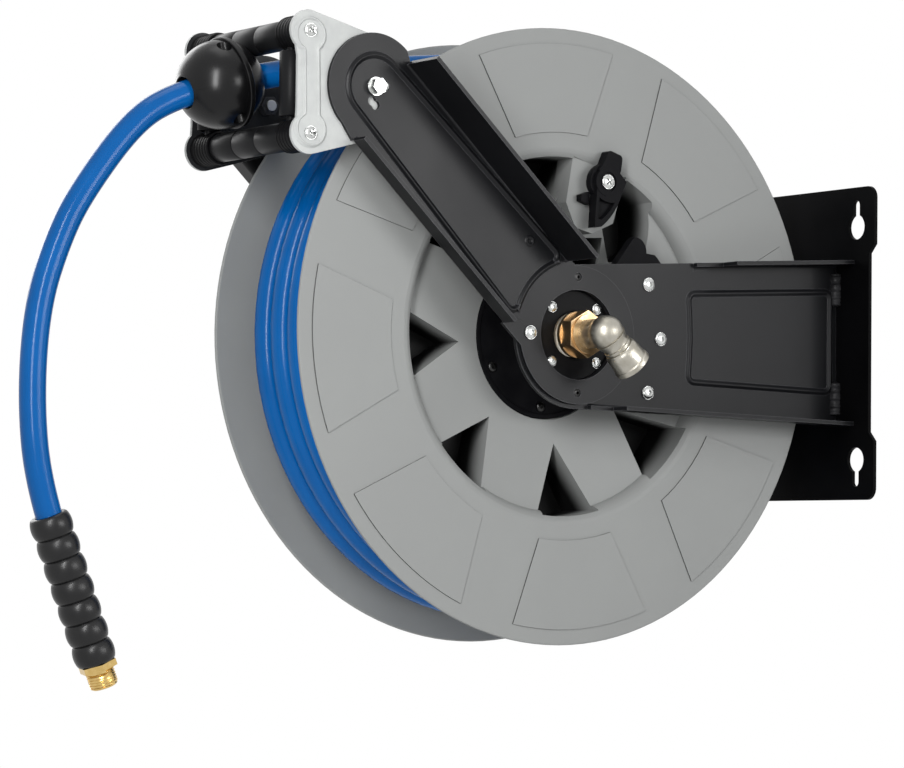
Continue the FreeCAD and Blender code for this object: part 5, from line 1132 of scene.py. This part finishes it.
# Ball stop: two glossy black halves clamped round the hose by two screws, so that it can't be
# wound in past the rollers. A thin disc stands out round it on the rollers' side.
BALL_BLACK = ((0.0040, 0.0040, 0.0044), (0.0055, 0.0055, 0.0060))
STOP_R = 32.0 * MM
STOP_BORE = 9.53 * MM
RIM_R = 33.3 * MM
RIM_BACK = 9.0 * MM
RIM_FRONT = 5.0 * MM
RIM_ROUND = 0.5 * MM
RIM_STEP = 2.4 * MM
LIP_R = 13.0 * MM
MOUTH = ((29.7, 12.4), (29.8, 12.0), (29.6, 11.6), (29.0, 11.3))
MOUTH_LONG = 10.0 * MM
JOINT_HALF = 0.04 * MM
SCREW_X = 17.5 * MM
SEAT_AT = 15.0 * MM
SEAT_R = 5.1 * MM
HOLE_R = 3.1 * MM
NUT_R = 4.6 * MM
NUT_HIGH = 4.0 * MM
ARC_STEPS = 28
UPWARD = OUTWARD.cross(Vector((1.0, 0.0, 0.0)))


def carve(obj, cutters):
    """Cut other closed pieces out of one."""
    for cutter in cutters:
        cut = obj.modifiers.new("cut", "BOOLEAN")
        cut.operation = "DIFFERENCE"
        cut.solver = "EXACT"
        cut.object = cutter
    mesh = plain_mesh(obj)
    obj.modifiers.clear()
    obj.data = mesh
    for cutter in cutters:
        bpy.data.objects.remove(cutter)
    for face in mesh.polygons:
        face.use_smooth = True
    mesh.set_sharp_from_angle(angle=math.radians(32.0))


def rod(name, radius, low, high, centre, way, sides):
    """A plain closed pin for cutting or filling."""
    return lathe(name, [(low, 0.0), (low, radius), (high, radius), (high, 0.0)], centre, way, sides)


def ball_arc(first, final, steps):
    """Points on the ball at some of the steps from one angle to another."""
    turns = [first - (first - final) * k / ARC_STEPS for k in steps]
    return [(STOP_R * math.cos(a), STOP_R * math.sin(a)) for a in turns]


profile = [(-math.sqrt(STOP_R**2 - STOP_BORE**2), STOP_BORE)]
bore_turn = math.pi - math.asin(STOP_BORE / STOP_R)
profile += ball_arc(bore_turn, math.acos(-RIM_BACK / STOP_R), range(1, ARC_STEPS))
profile += [(-RIM_BACK, RIM_R - RIM_STEP), (-RIM_BACK, RIM_R - RIM_ROUND), (-RIM_BACK + RIM_ROUND, RIM_R)]
profile += [(-RIM_FRONT - RIM_ROUND, RIM_R), (-RIM_FRONT, RIM_R - RIM_ROUND)]
profile += ball_arc(math.acos(-RIM_FRONT / STOP_R), math.asin(LIP_R / STOP_R), range(ARC_STEPS + 1))
profile += [(along * MM, radius * MM) for along, radius in MOUTH]
profile.append((STOP_R - MOUTH_LONG, STOP_BORE))
ball_black = finish("polished_ball", *BALL_BLACK, 0.03, (0.24, 0.29), 2.5, 0.015, 0.0, 0.24)
screw_lines = [STOP + Vector((side * SCREW_X, 0, 0)) for side in (1, -1)]
for way, node, name in (
    (1, "stop_upper_half", "ball_upper_half"),
    (-1, "stop_lower_half", "ball_lower_half"),
):
    half = lathe(name, profile, STOP, OUTWARD, 96)
    bm = bmesh.new()
    bm.from_mesh(half.data)
    spot = STOP + UPWARD * (way * JOINT_HALF)
    whole = list(bm.verts) + list(bm.edges) + list(bm.faces)
    bmesh.ops.bisect_plane(bm, geom=whole, plane_co=spot, plane_no=UPWARD * -way, clear_outer=True)
    bmesh.ops.holes_fill(bm, edges=[e for e in bm.edges if e.is_boundary])
    bmesh.ops.recalc_face_normals(bm, faces=bm.faces)
    bm.to_mesh(half.data)
    bm.free()
    cutters = []
    for centre in screw_lines:
        seat = centre + UPWARD * (way * SEAT_AT)
        cutters.append(rod("seat", SEAT_R, 0.0, 30.0 * MM, seat, UPWARD * way, 40))
        cutters.append(rod("hole", HOLE_R, -1.0 * MM, SEAT_AT + 1.0 * MM, centre, UPWARD * way, 24))
    carve(half, cutters)
    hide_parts(node)
    dress(half, ball_black, "frame")
heads = grown(
    "heads", points_at([centre + UPWARD * SEAT_AT for centre in screw_lines], [UPWARD, UPWARD], [0.3, 1.1]),
    screw_tree, Head_Radius=4.4 * MM, Head_Height=4.0 * MM, Socket_Radius=2.6 * MM, Cross=False,
    Shank_Length=2 * SEAT_AT, Finish=dark_zinc,
)
nuts = [rod("nut", NUT_R, 0.0, -NUT_HIGH, centre - UPWARD * SEAT_AT, UPWARD, 6) for centre in screw_lines]
clamps = joined("ball_screws", heads, *nuts)
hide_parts("stop_screws")
dress(clamps, dark_zinc, "frame")

# Hanging hose: the free end, which leaves the ball stop, bends down under its own weight and hangs
# to the sleeve at its end.
# The hanging hose has a darker copy of the wound hose's blue, which is painted shade.
HANGING_BLUE_PAINTED_SHADE = ((0.0016, 0.084, 0.295), (0.0024, 0.097, 0.335))
SLEEVE_TOP = Vector((0.0, -0.6395, -0.1400))
SLEEVE_LEAN = math.radians(21.3)
DOWN = Vector((0.0, math.sin(SLEEVE_LEAN), -math.cos(SLEEVE_LEAN)))
hanging_blue_painted_shade = hose_cover("blue_hose_hanging", *HANGING_BLUE_PAINTED_SHADE)
free_route = [
    STOP + OUTWARD * PAST_STOP,
    STOP + OUTWARD * (35.3 * MM),
    Vector((0.0, -0.5763, 0.1393)),
    Vector((0.0, -0.6180, 0.0845)),
    Vector((0.0, -0.6349, 0.0513)),
    Vector((0.0, -0.6502, 0.0051)),
    Vector((0.0, -0.6542, -0.0594)),
    SLEEVE_TOP - DOWN * (21.7 * MM),
    SLEEVE_TOP + DOWN * (20.0 * MM),
]
free_line = smooth_line(free_route)
hanging = hose("hanging_hose", "free_hose", free_line, 40, hanging_blue_painted_shade, "frame")

# Bend restrictor: a black rubber sleeve of seven beads, moulded over the crimped brass ferrule, so
# that the hose doesn't kink at its end.
SATIN_RUBBER = ((0.0065, 0.0065, 0.0070), (0.0090, 0.0090, 0.0095))
BEADS = 7
BEAD_PITCH = 15.7 * MM
BEAD_R = 15.0 * MM
NECK_R = 12.4 * MM
SLEEVE_BORE = HOSE_R + 0.03 * MM
SLEEVE_EDGE = 0.1 * MM
END_R = NECK_R - 0.6 * MM
SWELL_STEPS = 14
SWELL_POWER = 0.55
sleeve_long = BEADS * BEAD_PITCH
sleeve_rubber = finish("satin_rubber", *SATIN_RUBBER, 0.012, (0.30, 0.36), 0.8, 0.03, 0.0, 0.30)
profile = [(0.0, SLEEVE_BORE), (0.0, END_R)]
for k in range(BEADS * SWELL_STEPS + 1):
    along = min(max(BEAD_PITCH * k / SWELL_STEPS, SLEEVE_EDGE), sleeve_long - SLEEVE_EDGE)
    swell = abs(math.sin(math.pi * k / SWELL_STEPS)) ** SWELL_POWER
    profile.append((along, NECK_R + (BEAD_R - NECK_R) * swell))
profile += [(sleeve_long, END_R), (sleeve_long, SLEEVE_BORE)]
sleeve = lathe("beaded_sleeve", profile, SLEEVE_TOP, DOWN, 64)
sleeve.data.set_sharp_from_angle(angle=math.radians(70.0))
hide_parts("bend_restrictor")
dress(sleeve, sleeve_rubber, "frame")
coat(brass, "hose_ferrule")

# Hose tail: a turned brass end piece with a thin six-sided collar and a pipe thread for a nozzle or
# valve. The crimped ferrule under the sleeve holds it in the hose.
BRIGHT_BRASS = ((0.68, 0.49, 0.20), (0.58, 0.40, 0.14))
TAIL_PITCH = 1.814 * MM
THREAD_R = 10.4 * MM
THREAD_CREST = 0.82 * MM
THREAD_SUNK = 0.1 * MM
THREAD_LONG = 13.0 * MM
THREADED_SHARE = 0.84
COLLAR_LONG = 4.5 * MM
HEX_CORNER_R = 24.0 / 2 / math.cos(math.radians(30)) * MM
TAIL_BORE_R = 6.0 * MM
TIP_ROUND = 0.8 * MM
BORE_ROUND = 0.4 * MM
bright_brass = finish("bright_brass", *BRIGHT_BRASS, 0.004, (0.16, 0.26), 0.4, 0.01, 1.0)
tree, given = geometry_tree(
    "pipe_thread", Turns="Float", Pitch="Float", Radius="Float", Crest="Float", Start="Float",
    Finish="Material",
)
coil = geo(
    tree, "CurveSpiral", Resolution=48, Rotations=given["Turns"], Start_Radius=given["Radius"],
    End_Radius=given["Radius"], Height=maths(tree, "MULTIPLY", given["Turns"], given["Pitch"]),
)
steady = geo(tree, "SetCurveNormal", Curve=coil)
crest = geo(tree, "CurvePrimitiveCircle", Resolution=4, Radius=given["Crest"])
ridge = geo(tree, "CurveToMesh", Curve=steady, Profile_Curve=crest, Fill_Caps=True)
lift = put(tree, "ShaderNodeCombineXYZ", Z=given["Start"])[0]
lifted = geo(tree, "Transform", Geometry=ridge, Translation=lift)
placed = geo(tree, "InstanceOnPoints", Points=given[0], Instance=lifted, Rotation=outward_turn(tree))
ended(tree, given, placed)
tail_at = SLEEVE_TOP + DOWN * sleeve_long
core_r = THREAD_R - THREAD_CREST
thread = grown(
    "thread", points_at([tail_at], [DOWN]), tree, 30.0, Turns=THREAD_LONG * THREADED_SHARE / TAIL_PITCH,
    Pitch=TAIL_PITCH, Radius=core_r + THREAD_SUNK, Crest=THREAD_CREST - THREAD_SUNK,
    Start=COLLAR_LONG + 1.0 * MM, Finish=bright_brass,
)
tip = COLLAR_LONG + THREAD_LONG
start = COLLAR_LONG - 1.0 * MM
profile = [(start, TAIL_BORE_R), (start, core_r), (tip - TIP_ROUND, core_r), (tip, core_r - TIP_ROUND)]
profile += [(tip, TAIL_BORE_R + BORE_ROUND), (tip - BORE_ROUND, TAIL_BORE_R)]
core = lathe("core", profile, tail_at, DOWN, 48)
collar = [(0.0, TAIL_BORE_R), (0.0, HEX_CORNER_R), (COLLAR_LONG, HEX_CORNER_R), (COLLAR_LONG, TAIL_BORE_R)]
tail = joined("threaded_tail", thread, core, lathe("collar", collar, tail_at, DOWN, 6))
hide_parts("hose_tail")
dress(tail, bright_brass, "frame")

# Latch: a black moulded pawl that swings on the spool and drops into the ratchet, with the small
# coil spring that brings it back to the middle.
dress(softened("pawl", "latch", 0.5, 3), latch_black, "pawl_body")
coat(spring_bright, "pawl_spring")
